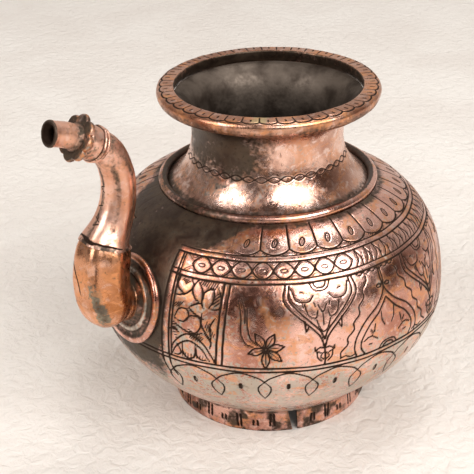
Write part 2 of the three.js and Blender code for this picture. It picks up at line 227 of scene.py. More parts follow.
# ---- Surfaces of revolution, and cutting lines into them ------------------------------
class Turned:
    """A grid on a surface of revolution. Its rows follow a profile of (radius, height)
    points, and its columns are azimuths. A mark on it is (azimuth, height), or
    (azimuth, distance along the profile) where the surface is made with by_length."""

    def __init__(self, profile, along, columns, by_length=False):
        reach = lengths(profile)
        self.along = along  # each row's distance along the profile
        self.columns = columns
        self.step = 360 / columns
        self.azimuth = np.arange(columns) * self.step
        self.cut = np.zeros((len(along), columns))
        self.radius = np.interp(self.along, reach, profile[:, 0])
        self.height = np.interp(self.along, reach, profile[:, 1])
        self.marks = reach if by_length else profile[:, 1]
        self.reach = reach
        slope = np.stack([np.gradient(self.radius, self.along), np.gradient(self.height, self.along)])
        slope /= np.linalg.norm(slope, axis=0)
        self.normal = np.stack([slope[1], -slope[0]])  # (outwards, upwards) of each row

    def length_at(self, mark):
        return np.interp(mark, self.marks, self.reach)

    def radius_at(self, mark):
        return np.interp(self.length_at(mark), self.along, self.radius)

    def over(self, rule):
        """A rule of (azimuth, height), worked out all over the grid."""
        return rule(self.azimuth[None, :] + 0 * self.cut, self.height[:, None] + 0 * self.cut)

    def near(self, azimuth, mark):
        """Turns (mm round, mm along) from one mark into marks."""
        start, radius = self.length_at(mark), self.radius_at(mark)

        def placed(x, y):
            return azimuth + math.degrees(x / radius), np.interp(start + y, self.reach, self.marks)

        return placed

    def stroke(self, points, width=0.9, strength=1.0, taper=False):
        """Cuts a smooth line through marks. A tapered one is thin at both ends."""
        line = smooth_through(points)
        radius = self.radius_at(line[:, 1].mean())
        path = np.stack([np.radians(line[:, 0]) * radius, self.length_at(line[:, 1])], axis=1)
        margin = width + 0.5
        low, high = path[:, 1].min() - margin, path[:, 1].max() + margin
        rows = np.nonzero((self.along > low) & (self.along < high))[0]
        if not len(rows):
            return
        turn = math.degrees(margin / radius)
        first = math.floor((line[:, 0].min() - turn) / self.step)
        last = math.ceil((line[:, 0].max() + turn) / self.step)
        columns = np.arange(first, last + 1)
        spot = np.stack(np.meshgrid(np.radians(columns * self.step) * radius, self.along[rows]), axis=-1)
        spot = spot[:, :, None]
        start, span = path[:-1], np.diff(path, axis=0)
        t = ((spot - start) * span).sum(-1) / np.maximum((span**2).sum(-1), 1e-9)
        gap = np.linalg.norm(spot - start - np.clip(t, 0, 1)[..., None] * span, axis=-1)
        nearest = gap.argmin(-1)
        gap = gap.min(-1)
        if taper:
            share = (nearest + 0.5) / len(span)
            gap = gap / (0.5 + 0.5 * np.sin(np.pi * share) ** 0.5)
        where = np.ix_(rows, columns % self.columns)
        self.cut[where] = np.maximum(self.cut[where], strength * line_mark(gap, width / 2 + 0.32, 0.55))

    def strokes(self, lines, place, taper=False):
        """Cuts lines of marks, each given with its width. place moves their azimuths."""
        for points, width in lines:
            self.stroke([(place(azimuth), mark) for azimuth, mark in points], width, taper=taper)

    def ring_line(self, mark, width=0.9, wander=0.12):
        """A line cut right round, a little unsteady, as cut by hand."""
        azimuth = np.radians(self.azimuth)
        middle = self.length_at(mark) + wander * (np.sin(7 * azimuth + mark) + np.sin(19 * azimuth))
        gap = self.along[:, None] - middle[None, :]
        self.cut = np.maximum(self.cut, line_mark(gap, width / 2 + 0.32, 0.55))

    def oval(self, azimuth, mark, across, along, width=0.7, lean=0.0, strength=1.0):
        """An oval cut round a mark. across and along are its half sizes in mm."""
        placed = self.near(azimuth, mark)
        ring = [(math.cos(a), along * math.sin(a)) for a in np.linspace(0, 2 * math.pi, 13)]
        self.stroke([placed(across * x + lean * y, y) for x, y in ring], width, strength)

    def hatch(self, start, end, lean, count, length, width=0.55):
        """Short slanting strokes in a row between two marks. lean is (mm round, mm along)."""
        for k in range(count):
            share = (k + 0.5) / count
            azimuth = start[0] + (end[0] - start[0]) * share
            mark = start[1] + (end[1] - start[1]) * share
            placed = self.near(azimuth, mark)
            half = 0.5 * length * (0.85 + 0.3 * math.sin(5 * k + azimuth))
            ends = [placed(side * lean[0] * half, side * lean[1] * half) for side in (-1, 1)]
            self.stroke(ends, width, 0.85)

    def dirt(self, spread=3):
        """Grime round the cuts: the cuts, blurred over a few rows and columns."""
        blurred = self.cut
        for _ in range(spread):
            blurred = (np.roll(blurred, 1, 1) + blurred + np.roll(blurred, -1, 1)) / 3
            padded = np.pad(blurred, ((1, 1), (0, 0)), mode="edge")
            blurred = (padded[:-2] + padded[1:-1] + padded[2:]) / 3
        return blurred

    def ring_points(self, lumps, cut_depth):
        """The outer face's points: the profile, moved out by lumps and in by the cuts."""
        out = lumps - cut_depth * self.cut
        radius = self.radius[:, None] + self.normal[0][:, None] * out
        height = self.height[:, None] + self.normal[1][:, None] * out
        return around(radius, np.radians(self.azimuth)[None, :], height)

    def hammered(self, amount, seed):
        """Dents and hammer marks of a raised sheet, in millimetres, all inwards."""
        points = self.ring_points(0 * self.cut, 0)
        coarse, middling, fine = (ripple(points, size, seed + k) for k, size in enumerate((38, 15, 7)))
        return amount * (coarse + 0.35 * middling + 0.05 * fine - 1.4)


def evenly(profile, rows):
    """Distances along a profile for so many rows."""
    return np.linspace(0, lengths(profile)[-1], rows)


def turned_rings(profile, columns):
    """Plain rings of a (radius, height) profile."""
    azimuth = np.radians(np.arange(columns) * 360 / columns)[None, :]
    return around(profile[:, 0][:, None], azimuth, profile[:, 1][:, None])


def sheet_inside(profile, count):
    """The inner face's profile of a sheet, from the outer profile's far end back."""
    outer = resampled(profile, count)
    step = np.gradient(outer, axis=0)
    step /= np.linalg.norm(step, axis=1)[:, None]
    inner = outer + np.stack([-step[:, 1], step[:, 0]], axis=1) * SHEET
    return inner[::-1]


def turned_piece(name, surface, inner, metal, paint, lumps, cut_depth, capped=False, bend=None):
    """A sheet piece: the detailed outer face, then an inner profile back to its start.
    paint gives each field's rule, and bend, if given, moves the finished rings."""
    columns = surface.columns
    outer = surface.ring_points(lumps, cut_depth)
    rings = np.concatenate([outer, turned_rings(inner, columns)])
    if bend:
        rings = bend(rings)
    fields = {"cut": surface.cut, "dirt": surface.dirt()}
    fields.update({field: surface.over(rule) for field, rule in paint.items()})
    bands = len(rings) - (1 if capped else 0)
    second = np.repeat(np.arange(bands) >= len(outer) - 1, columns).astype(int)
    if not capped:
        second[-columns:] = 0
    fields = carried_on(fields, len(inner))
    return skin(name, rings, [metal, INSIDE], fields, wrap_rows=not capped, second=second)


# ---- Where patina and tin lie -----------------------------------------------------------
def turn_from(azimuth, centre):
    """Degrees between two azimuths, from 0 to 180."""
    return np.abs((azimuth - centre + 180) % 360 - 180)


def upper_dark(azimuth, height):
    """Soot and patina all round the spout and on the left shoulder, and painted shade under the bead."""
    from_spout = turn_from(azimuth, SPOUT_AZIMUTH)
    behind_spout = smoothstep(18.5, 14.5, from_spout) * smoothstep(50, 78, height)
    edge = 28 + 1.4 * (height - 136)  # the dark reaches further round towards the bead
    left_shoulder = smoothstep(edge + 6, edge - 7, from_spout) * smoothstep(133, 137, height)
    # painted shade in the crease under the bead
    under_bead = 0.8 * smoothstep(142.6, 145.2, height)
    return np.maximum(np.maximum(behind_spout, left_shoulder), under_bead)


def lower_dark(azimuth, height):
    """Soot under the spout, fading downwards."""
    from_spout = turn_from(azimuth, SPOUT_AZIMUTH)
    return 0.9 * smoothstep(20, 12, from_spout) * smoothstep(40, 70, height)


def bowl_tin(azimuth, height):
    """Silvery wear of the tin wash, mostly on the lower belly."""
    low = smoothstep(88, 68, height)
    foliage = smoothstep(48, 30, turn_from(azimuth, SPOUT_AZIMUTH)) * smoothstep(125, 90, height)
    return np.maximum(0.42 * low, 0.22 * foliage) + 0.22


def neck_dark(azimuth, height):
    """The spout's side of the neck has gone dark, more so above the twisted line, and its foot by the bead
    has painted shade.
    """
    left = smoothstep(74, 10, turn_from(azimuth, 188)) * smoothstep(199, 188, height)
    # painted shade at the neck's foot, in the crease above the bead
    foot = 0.7 * smoothstep(150.5, 148, height)
    return np.maximum(left * (0.38 + 0.62 * smoothstep(154, 174, height)), foot)


def neck_tin_and_sheen(azimuth, height):
    """A little worn tin all over the neck, and a silvery band round its lower part, strongest at the left
    front, that is painted sheen.
    """
    # the band is painted sheen, standing in for a reflection on the lower neck
    band = smoothstep(149, 154, height) * smoothstep(178, 166, height)
    return 0.10 + 0.16 * band * smoothstep(80, 40, turn_from(azimuth, 215))


# ---- Engraving on the bowl --------------------------------------------------------------
# Marks here are (azimuth, height). A motif's own marks are (degrees from its middle, height).
TONGUES, TONGUE_START = 32, -115.9
CHAIN_START, CHAIN_END, CHAIN_PITCH, CHAIN_HEIGHT, CHAIN_SWING = -157.2, -98.7, 7.3, 129.6, 3.5
BLADES, BLADE_START, BLADE_PITCH = 45, -96.5, 4.3
HEARTS, HEART_START, HEART_PITCH = 6, -113.0, 45.2
GARLAND_LOOPS, GARLAND_START = 24, -116.3
DOUBLE_LINES = ((135.35, 0.7), (133.25, 0.95), (125.7, 0.7), (123.4, 0.95))  # (height, width)
FIELD_FOOT = 76.2  # the main field's motifs end here

PANEL_LEAVES = [
    [(-161.0, 79), (-159.5, 86), (-155, 92.6), (-150, 88.5), (-147, 80), (-146.4, 77)],
    [(-160.6, 77.5), (-158.6, 84), (-154.6, 88.4), (-150.6, 85), (-148, 77.5)],
    [(-158.6, 84.5), (-157.4, 80), (-158.4, 77.6), (-159.8, 77.6)],
    [(-157, 86.5), (-156.6, 80), (-155, 76.8), (-152.8, 79), (-152.6, 86.4)],
    [(-152.3, 86), (-152, 80), (-150.6, 77.4), (-149, 78)],
    [(-161.6, 92.6), (-160, 94.2), (-157.9, 92)],
    [(-159.9, 101), (-158.6, 106), (-156, 106.8), (-155, 103), (-156.8, 99.4), (-159.9, 100)],
    [(-156.6, 99), (-154.6, 103.4), (-151.4, 103.4), (-150.8, 98.6), (-152.6, 94), (-155.2, 96)],
    [(-160.4, 98), (-157, 95), (-153, 93.2), (-150.2, 94.8)],
    [(-155.4, 108), (-152.8, 105), (-150, 103.2)],
    [(-150.6, 106), (-150.4, 99), (-147.4, 91.4)],
    [(-146.2, 104.8), (-147.8, 99), (-147.2, 92)],
    [(-149.4, 94.6), (-147.4, 90.2), (-147.8, 86)],
    [(-160.6, 113), (-157, 114.8), (-154.6, 119), (-155.6, 122.4)],
    [(-160, 122.6), (-160.4, 118), (-157.6, 114.6)],
    [(-153.4, 122.6), (-154.8, 118), (-153.4, 113.4), (-152, 112.2)],
    [(-153.2, 122.4), (-151.2, 118), (-151, 112), (-150.4, 109)],
    [(-150.8, 113.6), (-150.4, 117.4), (-147.6, 119.6), (-147.2, 114), (-148.6, 109.6)],
    [(-155, 108.6), (-152.8, 110.8), (-150.6, 111.6)],
    [(-146, 121), (-144.8, 116), (-145.2, 110), (-148.8, 109.4)],
]
PANEL_HATCHING = (  # (from, to, lean, count)
    ((-152.6, 122), (-146.4, 120.6), (0.35, 0.8), 8),
    ((-146.9, 111), (-145.5, 118), (0.8, -0.45), 7),
    ((-149.2, 101), (-146.2, 94), (0.3, 0.9), 6),
    ((-154.2, 92), (-150, 90.6), (0.6, 0.7), 6),
    ((-160.6, 108), (-157.6, 109), (0.5, 0.7), 4),
    ((-160.4, 97), (-158.6, 88), (0.8, 0.2), 6),
    ((-157.4, 78.6), (-149.6, 79.4), (0.1, 0.9), 8),
    ((-159, 121.8), (-156.4, 120.4), (0.7, 0.5), 4),
)
SPRIG_STEMS = (
    ([(-139.4, 116), (-138.3, 108), (-138.2, 98), (-136.8, 92), (-134.6, 90)], 0.75),
    ([(-136.4, 112), (-136.3, 103), (-135.4, 95.5), (-133.4, 91.2)], 0.75),
    ([(-138.4, 117), (-137.2, 111), (-137.0, 104)], 0.75),
)
SPRIG_FLOWER = (-130.7, 88.6)
SPRIG_PETALS = ((122, 11.5), (62, 10.5), (8, 10.5), (-42, 12), (-92, 13), (196, 10.5))  # (way, length)
HALF_HEART = (
    ([(11.4, 123), (12.2, 116), (9.9, 110), (4.6, 101), (1.3, 94), (0.0, 86.5)], 0.9),
    ([(10.2, 122.6), (10.5, 116), (8.2, 110.6), (4, 103), (1.2, 97.4), (0.1, 92.4)], 0.9),
    ([(9.6, 121), (8, 115), (4.4, 114), (2.6, 117)], 0.75),
    ([(5.6, 113), (4.6, 107), (2.4, 105), (1.6, 109)], 0.75),
    ([(2.2, 104), (1.2, 99), (0.2, 97)], 0.7),
    ([(5.9, 104), (5.6, 98), (4.6, 101)], 0.8),
    ([(5.6, 118.6), (6.9, 119.2)], 0.7),
    ([(2.2, 111), (2.6, 113.4)], 0.7),
    ([(3, 88), (3, 85.6)], 0.7),
)
HALF_TREFOIL = (
    ([(0.1, 86.6), (1.5, 87.4), (2.7, 85.4), (1.3, 84)], 0.8),
    ([(2.5, 85), (2.2, 81), (1, 78.4)], 0.8),
    ([(0.6, 84), (1.3, 81.4), (0.4, 79.6)], 0.7),
)
HALF_OGEE = (
    (
        [(0.3, 122.5), (0.5, 117), (0.2, 111.6), (3.5, 104), (8.7, 97), (12, 89), (12.9, 82), (12.1, 76.4)],
        0.9,
    ),
    ([(0.1, 106.4), (3.4, 99.4), (7.4, 93.4), (10.2, 86), (10.5, 80.6), (9.2, 76.4)], 0.9),
    ([(9.6, 84.6), (7, 86.4), (4.3, 83.4)], 0.75),
    ([(2.6, 99), (2.4, 94), (1.4, 90.4)], 0.75),
    ([(5.2, 93), (5.6, 88.6)], 0.75),
    ([(7.7, 81.6), (6.4, 81.2)], 0.7),
)


def panel_sides():
    """The panels near the spout are cut once on each side of it, mirrored."""
    return [lambda azimuth: azimuth, lambda azimuth: -azimuth]


def mirrored(centre, side):
    """Puts a motif's own marks to one side of its middle."""
    return lambda turn: centre + side * turn


def half_round(centre, mark, size, rise):
    """An arc over a mark, size degrees to each side. rise is its height by its half width."""
    return [(centre + x * size, mark + rise * size * (1 - x * x) ** 0.5) for x in np.linspace(-1, 1, 9)]


def shoulder_tongues(surface):
    """Round-ended tongues under the bead, each with a double eye."""
    pitch = 360 / TONGUES
    for k in range(TONGUES):
        middle = TONGUE_START + pitch * k
        left, right = middle - pitch / 2, middle + pitch / 2
        surface.stroke([(left + 0.4, 145.2), (left + 0.1, 141), (left, 137.9)], 1.0)
        scallop = [(left, 137.7), (left + 0.25 * pitch, 136.3), (middle, 135.8)]
        scallop += [(middle + 0.25 * pitch, 136.3), (right, 137.7)]
        surface.stroke(scallop, 0.85)
        surface.oval(middle, 139.9, 1.35, 2.7, 0.7, lean=0.25)
        placed = surface.near(middle, 139.9)
        surface.stroke([placed(-0.3, -1.2), placed(0.3, 1.3)], 0.4)
        for side in (-1, 1):
            ends = (left + side * 0.7, 136.7), (left + side * 2.9, 135.8)
            surface.hatch(*ends, (0.7, 0.5 * side), 3, 1.5)


def chain_links(surface, place):
    """Two waves that cross to make links, an eye in each, and nested hooks between them."""
    links = round((CHAIN_END - CHAIN_START) / CHAIN_PITCH)
    turn = np.linspace(0, links * math.pi, links * 6 + 1)
    bulge = np.sign(np.sin(turn)) * np.abs(np.sin(turn)) ** 0.75
    for side in (-1, 1):
        azimuths = [CHAIN_START + a / math.pi * CHAIN_PITCH for a in turn]
        heights = [CHAIN_HEIGHT + side * CHAIN_SWING * b for b in bulge]
        surface.stroke([(place(azimuth), height) for azimuth, height in zip(azimuths, heights)], 0.8)
    for k in range(links):
        surface.oval(place(CHAIN_START + (k + 0.5) * CHAIN_PITCH), CHAIN_HEIGHT, 2.0, 1.0, 0.45)
        corner = CHAIN_START + k * CHAIN_PITCH
        for edge in (-1, 1):
            for apex, reach in ((1.4, 0.36), (2.4, 0.2)):
                shape = ((-reach, CHAIN_SWING), (-0.05, apex), (0.05, apex), (reach, CHAIN_SWING))
                hook = [(place(corner + x * CHAIN_PITCH), CHAIN_HEIGHT + edge * y) for x, y in shape]
                surface.stroke(hook, 0.4, 0.8)


def leaf_blades(surface):
    """The rest of the band between the double lines: a row of slanting leaf blades."""
    for k in range(BLADES):
        azimuth = BLADE_START + k * BLADE_PITCH
        surface.stroke([(azimuth - 1.5, 126.2), (azimuth, 129), (azimuth - 0.6, 133)], 0.7, taper=True)
        surface.stroke([(azimuth + 1.2, 126.2), (azimuth + 1.3, 129.5), (azimuth - 0.4, 133)], 0.7)
        surface.hatch((azimuth + 1.7, 127.4), (azimuth + 2.1, 131.6), (0.6, 0.8), 3, 2.2, 0.5)


def border_strip(surface, place):
    """The upright lines that close the engraved field next to the spout."""
    for azimuth, foot in ((-164.4, 62), (-161.9, 62), (-160.9, 74)):
        line = [(place(azimuth), foot), (place(azimuth + 0.1), 105), (place(azimuth), 133)]
        surface.stroke(line, 0.95)


def foliage_panel(surface, place):
    """A narrow panel of leaves and an arched lotus, thick with hatching."""
    for foot, head in ((-146.0, -144.1), (-144.1, -142.2)):
        middle = (foot + head) / 2 - 0.2
        surface.stroke([(place(foot), 76), (place(middle), 98), (place(head), 123.2)], 1.15)
    surface.strokes([(line, 0.9) for line in PANEL_LEAVES], place, taper=True)
    for near, far, lean, count in PANEL_HATCHING:
        surface.hatch((place(near[0]), near[1]), (place(far[0]), far[1]), lean, count, 4.2)


def sprig(surface, place):
    """Long stems that bend down to a flower of six petals."""
    surface.strokes(SPRIG_STEMS, place)
    side = 1 if place(1) > 0 else -1
    azimuth, height = SPRIG_FLOWER
    placed = surface.near(place(azimuth), height)
    for way, length in SPRIG_PETALS:
        petal(surface, lambda x, y: placed(side * x, y), math.radians(way), length)


def petal(surface, placed, way, length, width=2.1):
    """A pointed petal with a midrib, from the point that placed starts at."""
    away = np.array([math.cos(way), math.sin(way)])
    across = np.array([-away[1], away[0]])
    for edge in (-1, 1):
        stops = ((0.08, 0.2), (0.35, 0.85), (0.62, 1), (1, 0))
        spots = [length * t * away + edge * width * bulge * across for t, bulge in stops]
        surface.stroke([placed(*spot) for spot in spots], 0.8)
    surface.stroke([placed(*(length * t * away)) for t in (0.1, 0.75)], 0.6, 0.8)


def heart(surface, centre):
    """A heart hung from the upper line, in double outline, with leaves and a lotus below."""
    for side in (-1, 1):
        surface.strokes(HALF_HEART + HALF_TREFOIL, mirrored(centre, side))
        surface.hatch((centre + side * 6.6, 113), (centre + side * 5.2, 110.5), (0.2, 0.9), 3, 3)
    surface.stroke([(centre - 1.4, 112), (centre, 108), (centre + 1.4, 112)], 0.8)
    surface.stroke([(centre, 107.4), (centre, 100.6)], 0.7, taper=True)
    surface.stroke([(centre, 86), (centre + 0.1, 80.5), (centre, 75.5)], 0.8)
    for size in (3.4, 2.2):
        surface.stroke(half_round(centre, 123, size, -1.25), 0.75)


def ogee(surface, centre):
    """An upright pointed arch in double outline, with berries at its tip."""
    for side in (-1, 1):
        surface.strokes(HALF_OGEE, mirrored(centre, side))
        surface.oval(centre + side * 1.8, 113.6, 1.7, 1.0, 0.8)
        surface.hatch((centre + side * 7.2, 90.6), (centre + side * 6, 87.6), (0.3, 0.8), 3, 2.6)
    for size in (3.6, 2.2):
        surface.stroke(half_round(centre, 76, size, 1.15), 0.8)


def wavy_line(surface, centre, side):
    """A vine between a heart and an ogee, slanting away from the heart's foot."""
    place = mirrored(centre, side)
    line = [
        (place(16.6 - 12.0 * t) + 0.55 * math.sin(2 * math.pi * 5.2 * t), 120.5 - 42.5 * t)
        for t in np.linspace(0, 1, 25)
    ]
    surface.stroke(line, 0.85)
    foot = place(8.3)
    surface.stroke([(foot - 3.4, 77.6), (foot - 1.6, 78.6), (foot, 77.4), (foot + 1.8, 78.2)], 0.7)


def small_scallops(surface, start, end, height=122.7, drop=1.2, pitch=2.7):
    """A row of little arcs under the upper double line, between two hearts."""
    for k in range(int((end - start) / pitch)):
        left = start + k * pitch
        arc = [(left, height), (left + pitch / 2, height - drop), (left + pitch, height)]
        surface.stroke(arc, 0.75)


def main_field(surface):
    """The motifs that run over both halves of the bowl, between the two double lines."""
    for place in panel_sides():
        border_strip(surface, place)
        foliage_panel(surface, place)
        sprig(surface, place)
    centres = [HEART_START + HEART_PITCH * k for k in range(HEARTS)]
    for centre in centres:
        heart(surface, centre)
    for left in centres[:-1]:
        wavy_line(surface, left, 1)
        wavy_line(surface, left + HEART_PITCH, -1)
        ogee(surface, left + HEART_PITCH / 2)


def upper_engraving(surface):
    """Tongues, the chain and blade band between double lines, and the field's upper part."""
    shoulder_tongues(surface)
    from_spout = turn_from(surface.azimuth, SPOUT_AZIMUTH)[None, :]
    surface.cut *= 1 - 0.7 * smoothstep(44, 32, from_spout)  # filled with soot near the spout
    for height, width in DOUBLE_LINES:
        surface.ring_line(height, width)
    for place in panel_sides():
        chain_links(surface, place)
    leaf_blades(surface)
    main_field(surface)
    for k in range(HEARTS - 1):
        left = HEART_START + HEART_PITCH * k
        small_scallops(surface, left + 13.4, left + 31.4)
    surface.cut *= smoothstep(14.8, 15.4, from_spout)  # plain metal behind the spout


def garland(surface):
    """Crossing loops all round the lower belly, with a long dot in each arch."""
    pitch = 360 / GARLAND_LOOPS
    for k in range(GARLAND_LOOPS):
        node = GARLAND_START + k * pitch
        if turn_from(node, SPOUT_AZIMUTH) < 12:
            continue
        middle = node + pitch / 2
        arch = [(node, 65.2), (node + 0.14 * pitch, 68.6), (middle, 72)]
        arch += [(node + 0.86 * pitch, 68.6), (node + pitch, 65.2)]
        surface.stroke(arch, 0.85)
        for side in (-1, 1):
            loop = [(node, 65.2), (node + side * 1.9, 60.5), (node + side * 1.7, 55), (node, 48.5)]
            surface.stroke(loop, 0.8, taper=True)
        surface.oval(middle, 61, 0.9, 2.6, 0.6, strength=0.9)
        surface.stroke([(middle, 63), (middle, 59)], 0.6)


def lower_engraving(surface):
    """The foot of the main field, its double line, and the garland."""
    main_field(surface)
    surface.cut[surface.height < FIELD_FOOT] = 0
    for place in panel_sides():
        for azimuth in (-164.4, -161.9):
            tail = [(place(azimuth), 77), (place(azimuth + 0.2), 68), (place(azimuth + 1.5), 60)]
            surface.stroke(tail, 0.95)
    for height in (75.7, 73.0):
        surface.ring_line(height, 1.05)
    garland(surface)


# ---- Materials --------------------------------------------------------------------------
class Shader:
    """A material's node tree, with short ways to add what the metals here need."""

    def __init__(self, name):
        self.material = bpy.data.materials.new(name)
        self.material.use_nodes = True
        self.tree = self.material.node_tree
        self.surface = self.tree.nodes["Principled BSDF"]
        self.place = self.tree.nodes.new("ShaderNodeTexCoord").outputs["Object"]

    def node(self, kind, inputs, **settings):
        """A new node with its settings, and its inputs set to numbers or linked."""
        node = self.tree.nodes.new(kind)
        for setting, value in settings.items():
            setattr(node, setting, value)
        for socket, value in inputs.items():
            self.put(node.inputs[socket], value)
        return node

    def put(self, socket, value):
        if isinstance(value, bpy.types.NodeSocket):
            self.tree.links.new(value, socket)
        else:
            socket.default_value = value

    def attribute(self, name):
        return self.node("ShaderNodeAttribute", {}, attribute_name=name).outputs["Fac"]

    def noise(self, size, detail=3.0, stretch=None, distortion=0.0):
        """Noise whose features are about size metres across."""
        place = self.place
        if stretch:
            place = self.node("ShaderNodeMapping", {"Vector": place, "Scale": stretch}).outputs["Vector"]
        inputs = {"Vector": place, "Scale": 1 / size, "Detail": detail, "Distortion": distortion}
        return self.node("ShaderNodeTexNoise", inputs).outputs["Fac"]

    def span(self, value, low, high, to_low=0.0, to_high=1.0):
        """A smooth step of a value, from to_low at low to to_high at high."""
        inputs = {"Value": value, "From Min": low, "From Max": high, "To Min": to_low, "To Max": to_high}
        node = self.node("ShaderNodeMapRange", inputs, interpolation_type="SMOOTHSTEP")
        return node.outputs["Result"]

    def math(self, operation, a, b):
        return self.node("ShaderNodeMath", {0: a, 1: b}, operation=operation).outputs[0]

    def plus(self, total, value, weight):
        return self.math("ADD", total, self.math("MULTIPLY", value, weight))

    def swing(self, total, noise, weight):
        """Adds how far a noise is from its middle, times a weight."""
        return self.plus(total, self.math("ADD", noise, -0.5), weight)

    def mix(self, share, a, b):
        a, b = ((*colour, 1.0) if isinstance(colour, tuple) else colour for colour in (a, b))
        node = self.node("ShaderNodeMix", {}, data_type="RGBA")
        for socket, value in (("Factor", share), ("A", a), ("B", b)):
            self.put(node.inputs[socket], value)
        return node.outputs["Result"]

    def bump(self, height, distance, strength=1.0, under=None):
        inputs = {"Strength": strength, "Distance": distance, "Height": height}
        if under is not None:
            inputs["Normal"] = under
        return self.node("ShaderNodeBump", inputs).outputs["Normal"]

    def finish(self, **values):
        for name, value in values.items():
            self.put(self.surface.inputs[name.replace("_", " ")], value)
        return self.material


COPPER_BRIGHT, COPPER_DEEP = (0.88, 0.525, 0.43), (0.46, 0.205, 0.145)
COPPER_ORANGE, COPPER_PALE = (0.78, 0.34, 0.15), (0.92, 0.71, 0.635)
TIN_GREY, TIN_GREEN = (0.62, 0.57, 0.50), (0.56, 0.535, 0.46)
PATINA, PATINA_PALE = (0.040, 0.026, 0.018), (0.092, 0.068, 0.047)
# The black of soot in the cuts, and the painted black shade where the cut field marks a hollow.
SOOT_IN_CUTS_AND_SHADE = (0.034, 0.017, 0.010)
BRASSY = (0.62, 0.50, 0.27)
GREEN_OXIDE, DARK_OXIDE = (0.25, 0.26, 0.20), (0.12, 0.13, 0.11)


def copper(
    name,
    bright=COPPER_BRIGHT,
    deep=COPPER_DEEP,
    oxides=(TIN_GREY, TIN_GREEN),
    gloss=0.18,
    pale=0.45,
    orange=0.7,
):
    """Handled copper: warm mottling, worn tin or oxide, dark patina, and black in the cuts.
    gloss is the least roughness, and pale and orange are the strengths of those patches."""
    shade = Shader(name)
    cut, dark, tin, dirt = (shade.attribute(field) for field in ("cut", "dark", "tin", "dirt"))
    broad = shade.noise(0.045, 5, distortion=0.8)
    blotches = shade.noise(0.013, 8, distortion=0.7)
    freckles = shade.noise(0.005, 8, distortion=0.5)
    specks = shade.noise(0.0021, 6, distortion=0.3)
    grain = shade.noise(0.0011, 4)
    streaks = shade.noise(0.012, 7, stretch=(1, 1, 2.2), distortion=0.6)

    def uneven(total, weight):
        """Adds the ragged edges that patches of tin and patina share."""
        for noise, share in ((blotches, 0.9), (freckles, 1.2), (specks, 1.6)):
            total = shade.swing(total, noise, share * weight)
        return total

    colour = shade.mix(shade.span(broad, 0.38, 0.64), bright, deep)
    colour = shade.mix(shade.span(blotches, 0.50, 0.62, 0, orange), colour, COPPER_ORANGE)
    colour = shade.mix(shade.span(freckles, 0.46, 0.34, 0, pale), colour, COPPER_PALE)
    worn = shade.span(uneven(tin, 1.0), 0.34, 0.66, 0, 0.85)
    colour = shade.mix(worn, colour, shade.mix(shade.span(broad, 0.48, 0.56), *oxides))
    colour = shade.mix(shade.span(streaks, 0.56, 0.62, 0, 0.8 * orange), colour, COPPER_ORANGE)
    colour = shade.mix(shade.span(specks, 0.58, 0.68, 0, 0.6), colour, deep)

    # dusk: patina, soot and grime, and the painted shade that the dark field also carries.
    dusk = shade.math("MAXIMUM", dark, shade.math("MULTIPLY", dirt, 0.7))
    dusk = shade.span(shade.swing(uneven(dusk, 0.5), broad, 0.8), 0.2, 0.82, 0, 0.97)
    mottle = shade.plus(shade.math("MULTIPLY", blotches, 0.6), freckles, 0.4)
    soot = shade.mix(shade.span(mottle, 0.36, 0.64), PATINA, PATINA_PALE)
    soot = shade.mix(shade.span(specks, 0.56, 0.66, 0, 0.5), soot, PATINA)
    # grooves: the engraved cuts, and the painted black shade that the cut field also carries.
    grooves = shade.span(cut, 0.12, 0.7)
    colour = shade.mix(grooves, shade.mix(dusk, colour, soot), SOOT_IN_CUTS_AND_SHADE)

    rough = shade.span(blotches, 0.3, 0.7, gloss, gloss + 0.14)
    rough = shade.math("ADD", rough, shade.span(freckles, 0.45, 0.7, 0, 0.12))
    for value, weight in ((worn, 0.10), (dusk, 0.14), (grooves, 0.35)):
        rough = shade.plus(rough, value, weight)
    metal = shade.plus(shade.plus(1.0, grooves, -0.1), dusk, -0.2)
    relief = shade.bump(grain, 0.00012, 0.4)
    relief = shade.bump(specks, 0.0002, 0.3, under=relief)
    relief = shade.bump(freckles, 0.0004, 0.3, under=relief)
    return shade.finish(Base_Color=colour, Metallic=metal, Roughness=rough, Normal=relief)


def tin_wash():
    """The inside: tin gone dull and dark, with rusty-brown stains."""
    shade = Shader("tin_wash")
    stains = shade.noise(0.014, 8, distortion=0.2)
    grain = shade.noise(0.002, 3)
    colour = shade.mix(shade.span(stains, 0.35, 0.7), (0.155, 0.120, 0.094), (0.052, 0.036, 0.026))
    rough = shade.span(grain, 0.3, 0.7, 0.46, 0.62)
    relief = shade.bump(grain, 0.0002, 0.6)
    return shade.finish(Base_Color=colour, Metallic=0.75, Roughness=rough, Normal=relief)


def plaster_floor():
    """Pale plaster with fine wrinkles, and a faint painted glow that lightens it in shade."""
    shade = Shader("pale_floor")
    soft = shade.noise(0.12, 5, distortion=0.8)
    fine = shade.noise(0.008, 9, distortion=0.7)
    return shade.finish(
        Base_Color=shade.mix(shade.span(soft, 0.3, 0.7), (0.84, 0.79, 0.73), (0.78, 0.72, 0.66)),
        Roughness=0.85,
        Normal=shade.bump(fine, 0.0045, 0.55),
        # a faint painted glow: the floor is no lamp
        Emission_Color=(0.90, 0.82, 0.74, 1.0),
        Emission_Strength=0.03,
    )


BODY = copper("engraved_copper")
RIM_METAL = copper(
    "rim_copper",
    bright=(0.61, 0.335, 0.23),
    deep=(0.38, 0.165, 0.095),
    oxides=(BRASSY, BRASSY),
    gloss=0.22,
    pale=0.3,
)
